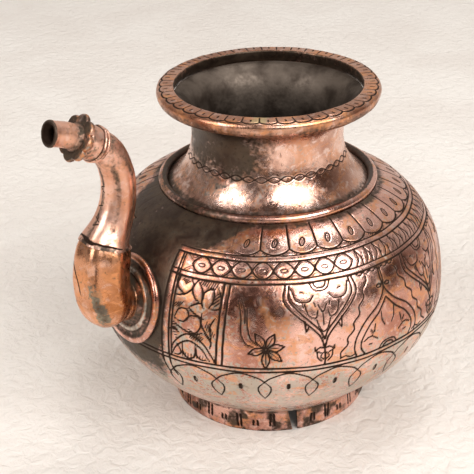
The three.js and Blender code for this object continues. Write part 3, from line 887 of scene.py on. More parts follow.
# Its pale oxide colours are the silver of the painted sheen on the neck's lower band.
NECK_METAL = copper(
    "neck_copper",
    bright=(0.88, 0.58, 0.47),
    deep=(0.50, 0.26, 0.185),
    oxides=((0.70, 0.62, 0.56), (0.62, 0.56, 0.50)),
    gloss=0.15,
    pale=0.6,
    orange=0.45,
)
SPOUT_METAL = copper(
    "spout_copper",
    bright=(0.94, 0.58, 0.45),
    deep=(0.68, 0.32, 0.20),
    oxides=(GREEN_OXIDE, DARK_OXIDE),
    gloss=0.29,
    pale=0.35,
    orange=0.35,
)
BULB_METAL = copper(
    "bulb_copper",
    bright=(0.78, 0.39, 0.23),
    deep=(0.40, 0.145, 0.045),
    oxides=(GREEN_OXIDE, DARK_OXIDE),
    gloss=0.2,
    pale=0.25,
)
DARK_METAL = copper("dark_copper", bright=(0.34, 0.20, 0.15), deep=(0.12, 0.07, 0.05), gloss=0.30)
INSIDE = tin_wash()

# ---- Bowl -------------------------------------------------------------------------------
LOWER_PROFILE = joined(
    np.array([(6, BASE_HEIGHT), (44, BASE_HEIGHT)]),
    bezier((44, BASE_HEIGHT), (53.7, BASE_HEIGHT), (62, FOOT_HEIGHT)),
    bezier((62, FOOT_HEIGHT), (73.3, 23.1), (108, 46.5), GIRTH),
)
UPPER_PROFILE = bezier(GIRTH, (108, 107.3), (98.9, 134.2), SHOULDER, steps=120)
BOWL_PROFILE = joined(LOWER_PROFILE, UPPER_PROFILE)
BOWL_LENGTHS = lengths(BOWL_PROFILE)
GIRTH_LENGTH = lengths(LOWER_PROFILE)[-1]
BOWL_COLUMNS = 980
BOWL_DENTS, BOWL_SEED = 0.4, 11
BANDS_FOOT = 123  # the finest bands of engraving lie above this height


def two_grades(start, change, end, coarse, fine):
    """Rows from start to end, coarse up to change and fine after it."""
    lower = np.linspace(start, change, coarse, endpoint=False)
    return np.concatenate([lower, np.linspace(change, end, fine)])


def lower_bowl():
    along = two_grades(0, GIRTH_LENGTH - 40, GIRTH_LENGTH, 42, 62)
    surface = Turned(BOWL_PROFILE, along, BOWL_COLUMNS)
    lower_engraving(surface)
    surface.cut[surface.height < FOOT_HEIGHT] = 1  # black in the shade of the foot
    lumps = surface.hammered(BOWL_DENTS, BOWL_SEED) * smoothstep(8, 30, surface.height)[:, None]
    inner = sheet_inside(LOWER_PROFILE, 30)
    paint = {"dark": lower_dark, "tin": bowl_tin}
    return turned_piece("lower_bowl_raised", surface, inner, BODY, paint, lumps, 0.18, capped=True)


def upper_bowl():
    bands = np.interp(BANDS_FOOT, BOWL_PROFILE[:, 1], BOWL_LENGTHS)
    along = two_grades(GIRTH_LENGTH, bands, BOWL_LENGTHS[-1], 58, 76)
    surface = Turned(BOWL_PROFILE, along, BOWL_COLUMNS)
    upper_engraving(surface)
    lumps = surface.hammered(BOWL_DENTS, BOWL_SEED)
    inner = sheet_inside(UPPER_PROFILE, 12)
    paint = {"dark": upper_dark, "tin": bowl_tin}
    return turned_piece("upper_bowl_raised", surface, inner, BODY, paint, lumps, 0.2)


# ---- Foot -------------------------------------------------------------------------------
FOOT_DEGREES = math.degrees(1 / FOOT_RADIUS)  # a millimetre round the foot
SLOT_PITCH, SLOTTED, FIRST_SLOT = 9.6, 350, 10.5  # in degrees, the last from the split
SLOTS = int(SLOTTED / SLOT_PITCH)


def chisel_slots(azimuth, heights):
    """Pairs of upright slots, long and short by turns, none quite alike."""
    draw = np.random.RandomState(5)
    cut = 0 * azimuth
    for k in range(SLOTS):
        middle = SPLIT_AZIMUTH + FIRST_SLOT + k * SLOT_PITCH
        low, high = (2.5, 12.2) if k % 2 else (4.2, 8.2)
        low, high = low + draw.uniform(-1.0, 1.6), high + draw.uniform(-1.2, 1.2)
        for side in (-1.15, 1.15):
            place = middle + side * draw.uniform(0.8, 1.2) + 0.2 * (heights - 7) * draw.uniform(-0.4, 0.5)
            inside = smoothstep(low - 0.8, low, heights) * smoothstep(high + 0.8, high, heights)
            cut = np.maximum(cut, line_mark((azimuth - place) / FOOT_DEGREES, 0.95, 0.5) * inside)
    return cut


def foot_ring():
    """The foot band, open at a leaning split, and cut all round with chisel slots."""
    columns, rows = 620, 18
    heights = np.linspace(0, FOOT_HEIGHT - 0.15, rows)[:, None]
    lean = np.interp(heights, [0, FOOT_HEIGHT], [0.3, 2.2])
    half = np.interp(heights, [0, FOOT_HEIGHT], [1.7, 2.8])
    start = SPLIT_AZIMUTH + (half - lean) * FOOT_DEGREES
    end = SPLIT_AZIMUTH + 360 - (half + lean) * FOOT_DEGREES
    azimuth = start + (end - start) * np.linspace(0, 1, columns)[None, :]
    turn = np.radians(azimuth)
    cut = chisel_slots(azimuth, heights)
    spots = around(FOOT_RADIUS, turn, heights)
    lumps = 0.3 * ripple(spots, 14, 31) - 0.25 + 0.1 * ripple(spots, 5, 32)
    rounding = 0.35 * (smoothstep(1.2, 0, heights) + smoothstep(FOOT_HEIGHT - 1.4, FOOT_HEIGHT, heights))
    outer = around(FOOT_RADIUS - rounding + np.minimum(lumps, 0) - 0.8 * cut, turn, heights)
    inner_radius = (FOOT_RADIUS - FOOT_SHEET - 0.4 * heights / FOOT_HEIGHT)[::-1]
    inner = around(inner_radius, turn[::-1], heights[::-1] * (FOOT_HEIGHT - 1.9) / FOOT_HEIGHT)
    # painted shade along the bottom edge on the floor and the top edge under the bowl's belly
    edge = np.maximum(smoothstep(1.0, 0, heights), 0.9 * smoothstep(11.8, 13.8, heights))
    # painted shade near the split, where the inside shows
    split = smoothstep(4.5, 0.5, np.minimum(azimuth - start, end - azimuth))
    stains = 0.5 * smoothstep(0.0, 0.5, ripple(spots, 5, 33)) + 0.3
    dark = np.maximum(np.maximum(0.7 * edge, 0.55 * split), stains)
    # the inside wall is painted black shade
    fields = carried_on({"cut": cut, "dark": dark, "tin": 0.12 + 0 * dark}, rows, cut=1, dark=1)
    fields = {field: values.T[::-1] for field, values in fields.items()}
    loops = np.concatenate([outer, inner]).transpose(1, 0, 2)[::-1]  # one closed section each
    return skin("foot_band", loops, [BODY], fields, wrap_rows=False)


# ---- Neck, bead and rim -----------------------------------------------------------------
NECK_PROFILE = joined(
    bezier((NECK_FOOT[0] + 0.6, NECK_FOOT[1] - 0.5), (51, 153.5), (WAIST[0], 163), WAIST),
    bezier(WAIST, (WAIST[0], 187), (49, 193), NECK_TOP),
)
TWISTS, TWIST_START, TWIST_HEIGHT, TWIST_SWING = 40, -156.5, 163.7, 1.55
STROKE_POINTS = 12  # the waves are cut in strokes of so many points
KNOCK_AZIMUTH, KNOCK = -38, 1.1  # the way the mouth leans, and how far


def lean_of_mouth(rings):
    """The mouth has been knocked a little to one side, the more the higher up."""
    away = np.radians(KNOCK_AZIMUTH)
    share = smoothstep(165, 206, rings[..., 2])
    rings = rings.copy()
    rings[..., 0] += KNOCK * share * math.cos(away)
    rings[..., 1] += KNOCK * share * math.sin(away)
    return rings


def neck_engraving(surface):
    """Two waves that twist round each other, cut fine."""
    turn = np.linspace(0, 2 * math.pi, TWISTS * 6 + 1)
    for side in (-1, 1):
        heights = TWIST_HEIGHT + side * TWIST_SWING * np.sin(TWISTS / 2 * turn)
        wave = list(zip(np.degrees(turn) + TWIST_START, heights))
        for k in range(0, len(wave) - 1, STROKE_POINTS):
            surface.stroke(wave[k : k + STROKE_POINTS + 1], 0.56)


def neck():
    surface = Turned(NECK_PROFILE, evenly(NECK_PROFILE, 120), 520)
    neck_engraving(surface)
    lumps = surface.hammered(0.4, 41)
    inner = sheet_inside(NECK_PROFILE, 24)
    paint = {"dark": neck_dark, "tin": neck_tin_and_sheen}
    return turned_piece("neck_flared", surface, inner, NECK_METAL, paint, lumps, 0.2, bend=lean_of_mouth)


def neck_bead():
    """A half-round wire over the joint, with painted shade on all but its outer face, down into the creases
    above and below it.
    """
    sides, columns = 28, 420
    turn = -turns(sides)
    section = np.stack([BEAD[0] + BEAD_WIRE * np.cos(turn), BEAD[1] + BEAD_WIRE * np.sin(turn)], axis=1)
    rings = turned_rings(section, columns)
    rings[..., 2] += 0.25 * ripple(rings, 20, 51)
    # painted shade on the wire's top, bottom and inner side, and in its creases
    crease_shade = smoothstep(0.5, -0.1, np.cos(turn))[:, None] + 0 * rings[..., 0]
    left = neck_dark(np.arange(columns) * 360 / columns, 170.0)[None, :]
    fields = {"cut": 0 * crease_shade, "dark": np.maximum(crease_shade, 0.7 * left), "tin": 0 * crease_shade + 0.2}
    return skin("neck_base_wire", rings, [BODY], fields)


RIM_FACE = joined(
    np.array([(57.6, 196.6), (61.2, 196.0)]),
    bezier((61.2, 196.0), (64.9, 195.9), (65.8, 198.6), (66.2, 201.2)),
    bezier((66.2, 201.2), (66.4, 203.4), (65.3, 204.6), (63.4, 205.15)),
    np.array([(63.4, 205.15), (62.1, 205.45), (56.6, 205.5)]),
    bezier((56.6, 205.5), (55.3, 205.5), (55.2, 204.3)),
)
RIM_SEAT = np.array([(55.6, 201.0), (56.9, 198.8), (57.2, 197.2)])
RIM_PETALS, RIM_START = 40, -112.0
BRASS_AZIMUTH = -134  # the middle of a brassy mend on the rim's top


def on_rim_top(radius):
    """The distance along the rim's profile at which its top face has a radius."""
    widest = RIM_FACE[:, 0].argmax()
    return float(np.interp(-radius, -RIM_FACE[widest:, 0], lengths(RIM_FACE)[widest:]))


def rim_engraving(surface):
    """A ring of petals on the rim's top: scalloped outer edge, dividers and dots."""
    pitch = 360 / RIM_PETALS
    outer, inner = on_rim_top(64.2), on_rim_top(56.9)
    for k in range(RIM_PETALS):
        middle = RIM_START + k * pitch
        left, right = middle - pitch / 2, middle + pitch / 2
        arc = [(left, outer + 1.5), (left + 0.22 * pitch, outer + 0.3), (middle, outer)]
        arc += [(right - 0.22 * pitch, outer + 0.3), (right, outer + 1.5)]
        surface.stroke(arc, 0.9)
        surface.stroke([(left, outer + 2.2), (left - 0.4, inner)], 0.7)
        surface.stroke([(middle, outer + 2.6), (middle - 0.2, outer + 4.6)], 0.9, taper=True)


def rim_ring():
    surface = Turned(RIM_FACE, evenly(RIM_FACE, 96), 900, by_length=True)
    rim_engraving(surface)
    shapes = surface.ring_points(0 * surface.cut, 0)
    lumps = 0.22 * ripple(shapes, 17, 61) + 0.12 * ripple(shapes, 6, 62) - 0.2
    outer = surface.ring_points(lumps, 0.28)
    rings = lean_of_mouth(np.concatenate([outer, turned_rings(RIM_SEAT, surface.columns)]))
    # painted shade on the rim's inner lip
    lip = smoothstep(56.4, 55.5, surface.radius)[:, None]

    def brass_patch(azimuth, height):
        return smoothstep(6.5, 3.0, turn_from(azimuth, BRASS_AZIMUTH)) * smoothstep(204.6, 205.4, height)

    # painted shade on the rim's side and underside, below its top face
    def under(azimuth, height):
        return smoothstep(204.4, 199, height)

    fields = {
        "cut": surface.cut,
        "dark": np.maximum(0.5 * surface.over(under), 0.8 * lip),
        "tin": 0.12 + 0.6 * surface.over(brass_patch),
        "dirt": surface.dirt(),
    }
    # the seat inside the mouth takes painted shade
    return skin("rim_band", rings, [RIM_METAL], carried_on(fields, len(RIM_SEAT), dark=0.9))


# ---- Spout ------------------------------------------------------------------------------
def in_spout_plane(points):
    """(reach, height) points as points of the jug's frame."""
    points = np.asarray(points, float)
    return np.stack([-points[:, 0], 0 * points[:, 0], points[:, 1]], axis=1)


def beyond(start, tilt, distance):
    """A (reach, height) point at a distance from another, tilt degrees from level."""
    way = math.radians(tilt)
    return start[0] + distance * math.cos(way), start[1] + distance * math.sin(way)


def seam_point(distance):
    return beyond(SEAM, 90 + SEAM_LEAN, distance)


def head_point(distance):
    return beyond(HEAD, HEAD_RISE, distance)


def rings_along(line, sides, radius_at):
    """Rings square to a line in the spout's plane. radius_at takes (share along, angle).
    Angle 0 points to +Y and 90 degrees to the outer side of the bend."""
    path = in_spout_plane(line)
    along = np.gradient(path, axis=0)
    along /= np.linalg.norm(along, axis=1)[:, None]
    sideways = np.array([0.0, 1.0, 0.0])
    outwards = np.cross(along, sideways)[:, None, :]
    angle = turns(sides)
    share = lengths(line) / lengths(line)[-1]
    radius = radius_at(share[:, None], angle[None, :])[..., None]
    across = np.cos(angle)[None, :, None] * sideways + np.sin(angle)[None, :, None] * outwards
    return path[:, None, :] + radius * across


LOBES = 6
VALLEY = math.radians(148)  # one of the valleys between the lobes
TUBE_LINE = joined(
    bezier(seam_point(-0.3), seam_point(5.5), (106.6, 155), (106.6, 173)),
    bezier((106.6, 173), (106.6, 182), head_point(-7), head_point(1.0)),
)
TUBE_FOOT, TUBE_HEAD, TUBE_FLARE, FLARE_LENGTH = 10.4, 8.8, 4.4, 0.11
TUBE_MEAN = 9.5  # its average radius
TACKS = (9.0, 12.5, 22.0, 33.5, 36.0)  # where the lapped seam was nicked, in mm from its foot


def valley(angle):
    """1 in the valleys between the lobes and 0 on their crests."""
    return 1 - np.sin(LOBES / 2 * (angle - VALLEY)) ** 2


def seam_angle(share):
    """Where the lapped seam runs round the tube, in radians."""
    return math.radians(83) + 0.25 * smoothstep(0.35, 0.0, share)


def tube_radius(share, angle):
    """A taper that flares at the foot, with soft lobes and the lap of the seam."""
    taper = TUBE_FOOT + (TUBE_HEAD - TUBE_FOOT) * share + TUBE_FLARE * np.exp(-share / FLARE_LENGTH)
    past = angle - seam_angle(share)
    lap = 0.3 * smoothstep(0.0, 0.05, past) * smoothstep(0.5, 0.1, past)
    return taper * (1.025 - 0.05 * valley(angle)) + lap


def nicks_beside(along, across):
    """Short cuts across the seam where its two edges were tacked."""
    total = 0 * (along + across)
    for k, place in enumerate(TACKS):
        gap = along - place - 0.5 * (-1) ** k * across
        total = np.maximum(total, line_mark(gap, 0.55, 0.3) * smoothstep(2.6, 1.6, np.abs(across)))
    return total


def spout_tube():
    """The tube: long soft lobes, a lapped seam along its outer side, and solder at its foot."""
    sides, rows = 180, 190
    line = resampled(TUBE_LINE, rows)
    rings = rings_along(line, sides, tube_radius)
    share = np.linspace(0, 1, rows)[:, None]
    angle = turns(sides)[None, :]
    foot = lengths(line)[:, None]
    out = rings - in_spout_plane(line)[:, None, :]
    out /= np.linalg.norm(out, axis=-1)[..., None]
    solder = smoothstep(3.4, 0.6, foot + 0.9 * ripple(rings, 5, 73) + 0.5 * ripple(rings, 2, 74))
    lumps = 0.2 * ripple(rings, 11, 71) + 0.1 * ripple(rings, 4.5, 72)
    lumps = lumps + 0.4 * solder * ripple(rings, 1.8, 75) ** 2
    rings = rings + out * lumps[..., None]
    across = (angle - seam_angle(share)) * TUBE_MEAN + 0.35 * ripple(rings, 6, 76)
    seam_line = line_mark(across, 0.42, 0.3) * (0.6 + 0.4 * ripple(rings, 9, 77))
    crack = line_mark(foot - 1.5 - 0.8 * ripple(rings, 6, 78), 0.55, 0.4)
    crack = crack * smoothstep(-0.4, 0.2, ripple(rings, 7, 79))
    # dark: solder, the seam's joint, and painted shade over the upper tube
    dark = 0.45 * solder + 0.42 * smoothstep(0.5, 0.95, share) + 0.2 * smoothstep(3, 0, np.abs(across))
    # painted shade in the valleys between the lobes
    dark = dark + 0.50 * smoothstep(0.55, 1.0, valley(angle)) * smoothstep(0.95, 0.6, share)
    fields = {
        "cut": np.maximum(np.maximum(seam_line, nicks_beside(foot, across)), 0.9 * crack),
        "dark": dark,
        "tin": 0.10 * smoothstep(0.8, 0.95, share) + 0.25 * solder + 0.12,
    }
    return turned_over("spout_neck", rings, [SPOUT_METAL], fields, wrap_rows=False)


BULB_LINE = bezier(seam_point(0.4), seam_point(-10), (128.5, 109), (112.8, 90.5))
ROOT_STARTS, ROOT_ENDS = 2.4, 14  # mm into the bowl's wall, and out to the bulb's middle
PATCH_HEIGHT = 107  # the middle of the green patch on the bulb
BULB_LEFT, BULB_MIDDLE, BULB_LEAN = 93.5, 104, 0.2  # mm left of the axis at a height, and per mm up


def root_axis():
    """The bowl's (reach, height) and outward direction at the spout's root."""
    k = int(np.argmin(np.abs(UPPER_PROFILE[:, 1] - FLANGE_HEIGHT)))
    along = UPPER_PROFILE[k + 1] - UPPER_PROFILE[k - 1]
    along /= np.linalg.norm(along)
    return UPPER_PROFILE[k], np.array([along[1], -along[0]])


def pear_radius(share, angle):
    """Swells from the seam, and closes round at the bottom. The lobes fade out there."""
    swell = np.sin(math.pi / 2 * np.minimum(1, share / 0.2))
    closing = np.clip((share - 0.66) / 0.34, 0, 1)
    radius = (13.9 + 1.8 * swell) * np.sqrt(np.maximum(0.003, 1 - closing**2))
    return radius * (1.03 - 0.085 * smoothstep(0.95, 0.6, share) * valley(angle + 0.25 * share))


def root_radius(share, angle):
    """The root's tube, with a weld on the bowl and a heel past it."""
    distance = -ROOT_STARTS + share * (ROOT_ENDS + ROOT_STARTS)
    heel = 1.7 * smoothstep(9, 5, distance) * smoothstep(1.5, 4, distance)
    weld = 2.4 * smoothstep(3.5, 0.5, distance) * smoothstep(-2.5, -0.5, distance)
    return 11.0 + weld + heel + 0 * angle


def welded(parts, voxel, smoothing):
    """The union of closed pieces as one evenly meshed body, its creases softened."""
    bpy.ops.object.select_all(action="DESELECT")
    for part in parts:
        part.select_set(True)
    bpy.context.view_layer.objects.active = parts[0]
    bpy.ops.object.join()
    whole = parts[0]
    remesh = whole.modifiers.new("remesh", "REMESH")
    remesh.mode = "VOXEL"
    remesh.voxel_size = voxel
    soften = whole.modifiers.new("soften", "SMOOTH")
    soften.factor = 0.5
    soften.iterations = smoothing
    evaluated = whole.evaluated_get(bpy.context.evaluated_depsgraph_get())
    mesh = bpy.data.meshes.new_from_object(evaluated)
    bpy.data.objects.remove(whole)
    return mesh


def read_points(collection, name):
    """A three-part value of every one of a mesh's points."""
    values = np.empty(len(collection) * 3, np.float32 if name == "normal" else float)
    collection.foreach_get(name, values)
    return values.reshape(-1, 3)


def bulb_fields(points, normals, to_seam):
    """The solder at the seam, the bulb's own seam, a green patch, and painted shade by the bowl and in the
    valley facing the camera.
    """
    solder = smoothstep(-3.2, -0.6, to_seam + 0.9 * ripple(points, 4, 83))
    facing = math.radians(FRONT_AZIMUTH)
    front = np.array([math.cos(facing), math.sin(facing), 0])
    side = np.array([-front[1], front[0], 0])
    across = points @ side + BULB_LEFT - BULB_LEAN * (BULB_MIDDLE - points[:, 2])  # from its middle
    patch = smoothstep(5.4, 1.6, np.abs(across)) * smoothstep(20, 8, np.abs(points[:, 2] - PATCH_HEIGHT))
    patch = patch * smoothstep(0.2, 0.5, normals @ front)
    seam_line = line_mark(across + 9.6 + 0.5 * ripple(points, 6, 84), 0.55, 0.35)
    seam_line *= smoothstep(0.0, 0.2, normals @ front) * smoothstep(-34, -27, to_seam)
    # painted shade where the bulb meets the bowl
    near_bowl = smoothstep(9.0, 2.0, np.hypot(points[:, 0], points[:, 1]) - 104)
    # painted shade in the valley facing the camera
    valley_shade = 0.42 * smoothstep(4.5, 0.5, np.abs(across))
    return {
        "cut": 0.8 * seam_line,
        "dark": np.maximum(np.maximum(0.40 * solder, 0.7 * near_bowl), valley_shade),
        "tin": 0.08 + 0.8 * patch + 0.15 * solder,
    }


def spout_bulb():
    """The pear-shaped bulb and its root, welded into one lumpy form."""
    point, outwards = root_axis()
    root_line = point + np.linspace(-ROOT_STARTS, ROOT_ENDS, 24)[:, None] * outwards
    body = rings_along(resampled(BULB_LINE, 60), 72, pear_radius)
    stub = rings_along(root_line, 60, root_radius)
    parts = [turned_over(name, rings, [], None, False) for name, rings in (("pear", body), ("stub", stub))]
    mesh = welded(parts, voxel=0.6 * MM, smoothing=14)
    points = (read_points(mesh.vertices, "co") - [JUG_X, 0, 0]) / MM
    normals = read_points(mesh.vertices, "normal")
    lean = math.radians(90 + SEAM_LEAN)
    to_seam = (points - [-SEAM[0], 0, SEAM[1]]) @ np.array([-math.cos(lean), 0, math.sin(lean)])
    lumps = 0.3 * ripple(points, 12, 81) + 0.12 * ripple(points, 5, 82)
    points = points + normals * (lumps * smoothstep(0, -3, to_seam))[:, None]
    mesh.vertices.foreach_set("co", to_row_frame(points).astype(np.float32).ravel())
    paint_points(mesh, bulb_fields(points, normals, to_seam))
    mesh.materials.clear()
    mesh.materials.append(BULB_METAL)
    mesh.polygons.foreach_set("use_smooth", np.ones(len(mesh.polygons), bool))
    return placed_in_scene("spout_bulb_formed", mesh)


FLANGE_SECTION = joined(
    np.array([(9.0, -0.9), (9.0, 3.2)]),
    bezier((9.0, 3.2), (13.4, 3.6), (14.0, 1.3), (15.6, 1.1)),
    bezier((15.6, 1.1), (16.6, 2.9), (18.8, 2.9), (19.6, 1.2)),
    bezier((19.6, 1.2), (21.0, 0.6), (21.6, 0.8), (22.4, 1.6)),
    bezier((22.4, 1.6), (24.0, 3.2), (26.6, 3.3), (FLANGE_RADIUS, 0.9)),
    np.array([(FLANGE_RADIUS, 0.9), (FLANGE_RADIUS, -0.9)]),
)


def spout_flange():
    """The dished disc, wrapped on the bowl, with a bright rolled edge round a dark dish."""
    section = resampled(FLANGE_SECTION, 70)
    angle = turns(260)[None, :]
    distance, rise = section[:, 0][:, None], section[:, 1][:, None]
    wobble = 1 + 0.012 * np.sin(2 * angle + 0.6) + 0.008 * np.sin(5 * angle)
    bowl_radius, bowl_height = BOWL_PROFILE.T
    up = np.interp(FLANGE_HEIGHT, bowl_height, BOWL_LENGTHS) + distance * wobble * np.sin(angle)
    radius = np.interp(up, BOWL_LENGTHS, bowl_radius)
    height = np.interp(up, BOWL_LENGTHS, bowl_height)
    slope_r = np.interp(up, BOWL_LENGTHS, np.gradient(bowl_radius, BOWL_LENGTHS))
    slope_z = np.interp(up, BOWL_LENGTHS, np.gradient(bowl_height, BOWL_LENGTHS))
    turn = math.pi + distance * wobble * np.cos(angle) / radius
    lumps = 0.15 * ripple(around(radius, turn, height), 7, 91)
    out = rise + lumps * smoothstep(0.3, 1.0, rise)
    rings = around(radius + slope_z * out, turn, height - slope_r * out)
    roll = smoothstep(22.6, 24.6, distance) * smoothstep(0.5, 1.6, rise) + 0 * turn
    ring = smoothstep(2.0, 0.8, np.abs(distance - 17.6))
    fields = {"cut": 0 * roll, "dark": 0.72 - 0.6 * roll - 0.4 * ring, "tin": 0.40 - 0.2 * roll + 0.4 * ring}
    return skin("spout_disc", rings, [BODY], fields)


# ---- Spout head: turned about the way the collar points ---------------------------------
def about_head(rings):
    """From a frame whose Z runs along the collar, to the jug's frame."""
    tilt = Matrix.Rotation(math.radians(HEAD_RISE - 90), 3, "Y")
    return rings @ np.array(tilt).T + in_spout_plane([HEAD])[0]


COLLAR_FACE = joined(
    np.array([(5.6, 0.2), (8.6, 0.2)]),
    bezier((8.6, 0.2), (10.4, 0.2), (10.4, 2.3), (9.2, 2.3)),
    bezier((9.2, 2.3), (9.6, 2.4), (9.6, 2.6), (9.4, 2.8)),
    bezier((9.4, 2.8), (11.0, 2.9), (11.1, 4.8), (9.6, 4.9)),
    bezier((9.6, 4.9), (9.6, 7.0), (10.1, 10.0), (10.2, 12.0)),
    bezier((10.2, 12.0), (10.9, 12.4), (10.8, 13.6), (10.1, COLLAR_END)),
    np.array([(10.1, COLLAR_END), (5.6, COLLAR_END + 0.2)]),
)
PETAL_LOBES, PETAL_RADIUS, PETAL_SWING, HEAD_BORE = 8, 12.6, 1.1, 5.6


def spout_collar():
    """Two beads and a rough cone, with painted shade in the grooves between them."""
    rings = turned_rings(resampled(COLLAR_FACE, 90), 150)
    radius = np.linalg.norm(rings[..., :2], axis=-1)[..., None]
    lumps = 0.25 * ripple(rings, 6, 101) + 0.2 * ripple(rings, 2.6, 102)
    rings[..., :2] += rings[..., :2] / radius * lumps[..., None] * smoothstep(6, 8, radius)
    along = rings[..., 2]
    # painted shade in the creases between the beads
    groove_shade = line_mark(along - 2.5, 0.42, 0.3) + line_mark(along - 5.0, 0.4, 0.3)
    fields = {"cut": 0.6 * groove_shade, "dark": 0.34 + 0.2 * smoothstep(9, 13, along), "tin": 0.3 + 0 * along}
    return skin("spout_collar_beaded", about_head(rings), [SPOUT_METAL], fields)


def petal_flange():
    """Eight round lobes, thick and rubbed soft at the edges."""
    angle = turns(320)[None, :]
    lobe = 2 * np.abs(np.cos(PETAL_LOBES * angle / 2)) ** 0.7 - 1
    middle, half = (PETALS_FRONT + PETALS_BACK) / 2, (PETALS_FRONT - PETALS_BACK) / 2
    edge = bezier((0, -half), (1.0, -1.5), (1.15, 0), (1.0, 1.5), (0, half), steps=18)
    rounded = np.stack([0.86 + 0.135 * edge[:, 0], edge[:, 1]], axis=1)
    section = np.vstack([[(0.0, -half)], rounded, [(0.0, half)]])  # (share of the way out, rise)
    share, rise = section[:, 0][:, None], section[:, 1][:, None]
    radius = HEAD_BORE + share * (PETAL_RADIUS + PETAL_SWING * lobe - HEAD_BORE)
    rings = around(radius, angle, middle + rise)
    rings = rings + 0.12 * ripple(rings, 3.5, 111)[..., None] * np.array([0.6, 0.6, 1.0])
    edge_rub = smoothstep(0.80, 0.98, share) + 0 * angle
    fields = {"cut": 0 * edge_rub, "dark": 0.85 - 0.5 * edge_rub, "tin": 0.25 + 0 * edge_rub}
    return skin("spout_petals", about_head(rings), [DARK_METAL], fields)


def spout_tip():
    """The outlet: a short bent tube with a thick lip and a funnel mouth."""
    start = COLLAR_END + 3 + 0.2
    line = resampled(bezier(head_point(start), head_point(start + 6.4), (147, 213.2)), 60)
    funnel_starts = 1 - 3.4 / lengths(line)[-1]

    def outside(share, angle):
        lip = 0.35 * smoothstep(0.80, 0.95, share) * smoothstep(1.03, 0.96, share)
        return 7.0 + lip + 0.9 * smoothstep(0.18, 0.0, share) + 0.0 * angle

    def inside(share, angle):
        funnel = smoothstep(funnel_starts, 1.0, share)
        return 4.3 + 1.3 * funnel - 0.25 * np.cos(4 * angle) * funnel

    outer = rings_along(line, 96, outside)
    inner = rings_along(line, 96, inside)
    outer = outer + 0.12 * ripple(outer, 5, 121)[..., None] * np.array([0.5, 0.7, 0.7])
    along = np.linspace(0, 1, len(line))[:, None] + 0 * outer[..., 0]
    # painted shade next to the petals and on the lip's face
    dark = 0.7 * smoothstep(0.40, 0.05, along) + 0.9 * smoothstep(0.9, 0.97, along)
    fields = {"cut": 0 * along, "dark": dark, "tin": 0.2 + 0 * along}
    # the bore is painted black shade
    fields = carried_on(fields, len(inner), cut=0.9, dark=1)
    rings = np.concatenate([outer, inner[::-1]])
    return turned_over("spout_outlet", rings, [SPOUT_METAL], fields)


# ---- Assembly ---------------------------------------------------------------------------
PIECES = (
    (foot_ring, "foot_ring", "copper_body"),
    (lower_bowl, "lower_bowl", "copper_body"),
    (upper_bowl, "upper_bowl", "copper_body"),
    (neck_bead, "neck_base_bead", "copper_body"),
    (neck, "neck", "copper_body"),
    (rim_ring, "rim_ring", "copper_rim"),
    (spout_flange, "spout_flange", "dark_copper"),
    (spout_bulb, "spout_bulb", "copper_spout"),
    (spout_tube, "spout_tube", "copper_spout"),
    (spout_collar, "spout_collar", "copper_spout"),
    (petal_flange, "spout_petal_flange", "dark_copper"),
    (spout_tip, "spout_tip", "copper_spout"),
)

for build, node, slot in PIECES:
    piece = build()
    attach(piece, "root")
    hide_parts(node)


# ---- Stage ------------------------------------------------------------------------------
def stage_plane(name, corners, material):
    """A flat sheet that isn't part of the jug."""
    mesh = bpy.data.meshes.new(name)
    mesh.from_pydata(corners, [], [(0, 1, 2, 3)])
    mesh.materials.append(material)
    placed_in_scene(name, mesh)


def floor():
    half = 5.0
    corners = [(-half, -half, 0), (half, -half, 0), (half, half, 0), (-half, half, 0)]
    stage_plane("floor", corners, plaster_floor())


def dark_mat():
    """Something dark on the floor in front of the jug, out of the picture, that the spout mirrors."""
    near, far, half, lift = 0.28, 1.2, 0.06, 0.002
    start = Vector((JUG_X - 0.107, 0, 0))  # under the spout
    turn = Matrix.Rotation(math.radians(FRONT_AZIMUTH), 3, "Z")
    corners = [(near, -half), (far, -half * 2.2), (far, half * 2.2), (near, half)]
    cloth = Shader("dark_cloth").finish(Base_Color=(0.05, 0.035, 0.03, 1.0), Roughness=0.9)
    stage_plane("dark_mat", [turn @ Vector((x, y, lift)) + start for x, y in corners], cloth)


def softbox(name, azimuth, elevation, distance, wide, tall, power):
    """A soft light that looks at the middle of the jug. Sizes are in metres."""
    data = bpy.data.lights.new(name, "AREA")
    data.shape = "RECTANGLE"
    data.size, data.size_y = wide, tall
    data.energy = power
    lamp = placed_in_scene(name, data)
    a, e = math.radians(azimuth), math.radians(elevation)
    way = Vector((math.cos(a) * math.cos(e), math.sin(a) * math.cos(e), math.sin(e)))
    lamp.location = Vector((JUG_X, 0, 0.11)) + way * distance
    lamp.rotation_mode = "QUATERNION"
    lamp.rotation_quaternion = way.to_track_quat("Z", "Y")


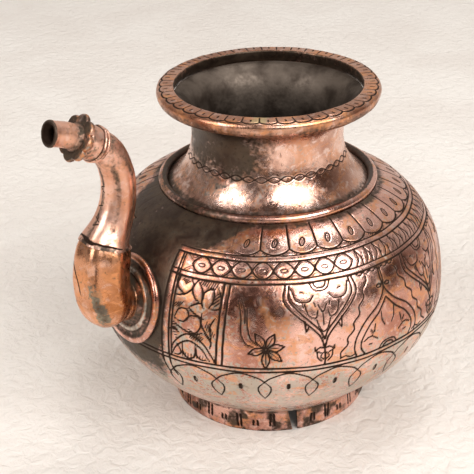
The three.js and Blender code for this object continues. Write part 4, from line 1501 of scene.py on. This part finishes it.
def room():
    """A dim room in front of the jug and a paler wall behind it."""
    world = bpy.data.worlds.new("room")
    world.use_nodes = True
    tree = world.node_tree
    place = tree.nodes.new("ShaderNodeTexCoord").outputs["Generated"]
    dot = tree.nodes.new("ShaderNodeVectorMath")
    dot.operation = "DOT_PRODUCT"
    rear = math.radians(50)
    dot.inputs[1].default_value = (math.cos(rear), math.sin(rear), 0.2)
    tree.links.new(place, dot.inputs[0])
    ramp = tree.nodes.new("ShaderNodeValToRGB")
    stops = ((0.0, (0.075, 0.055, 0.046, 1)), (0.75, (0.62, 0.575, 0.535, 1)))
    for element, (position, colour) in zip(ramp.color_ramp.elements, stops):
        element.position = position
        element.color = colour
    tree.links.new(dot.outputs["Value"], ramp.inputs["Fac"])
    tree.links.new(ramp.outputs["Color"], tree.nodes["Background"].inputs["Color"])
    bpy.context.scene.world = world


def camera():
    """A long lens, a little above the rim, on the jug's left front."""
    data = bpy.data.cameras.new("camera")
    data.lens, data.sensor_width = LENS, SENSOR_WIDTH
    data.clip_start, data.clip_end = 0.05, 50
    lens = placed_in_scene("camera", data)
    spin = Matrix.Rotation(math.radians(CAMERA_TURN), 3, "Z")
    aim_right, aim_height = CAMERA_AIM
    target = spin @ Vector((aim_right, 0, 0)) * MM + Vector((JUG_X, 0, aim_height * MM))
    tilt = math.radians(CAMERA_RISE)
    back = spin @ Vector((0, -math.cos(tilt), math.sin(tilt)))
    right = spin @ Vector((1, 0, 0))
    up = back.cross(right)
    roll = math.radians(CAMERA_ROLL)
    across = right * math.cos(roll) + up * math.sin(roll)
    upright = up * math.cos(roll) - right * math.sin(roll)
    lens.location = target + back * CAMERA_DISTANCE * MM
    lens.rotation_mode = "QUATERNION"
    lens.rotation_quaternion = Matrix((across, upright, back)).transposed().to_quaternion()
    bpy.context.scene.camera = lens


floor()
dark_mat()
room()
softbox("key", azimuth=-90, elevation=40, distance=3.0, wide=2.4, tall=1.8, power=88)
softbox("fill", azimuth=175, elevation=34, distance=3.0, wide=1.4, tall=2.5, power=50)
softbox("top", azimuth=8, elevation=74, distance=1.4, wide=0.5, tall=0.5, power=5)
camera()
bpy.context.scene.view_settings.view_transform = "Standard"
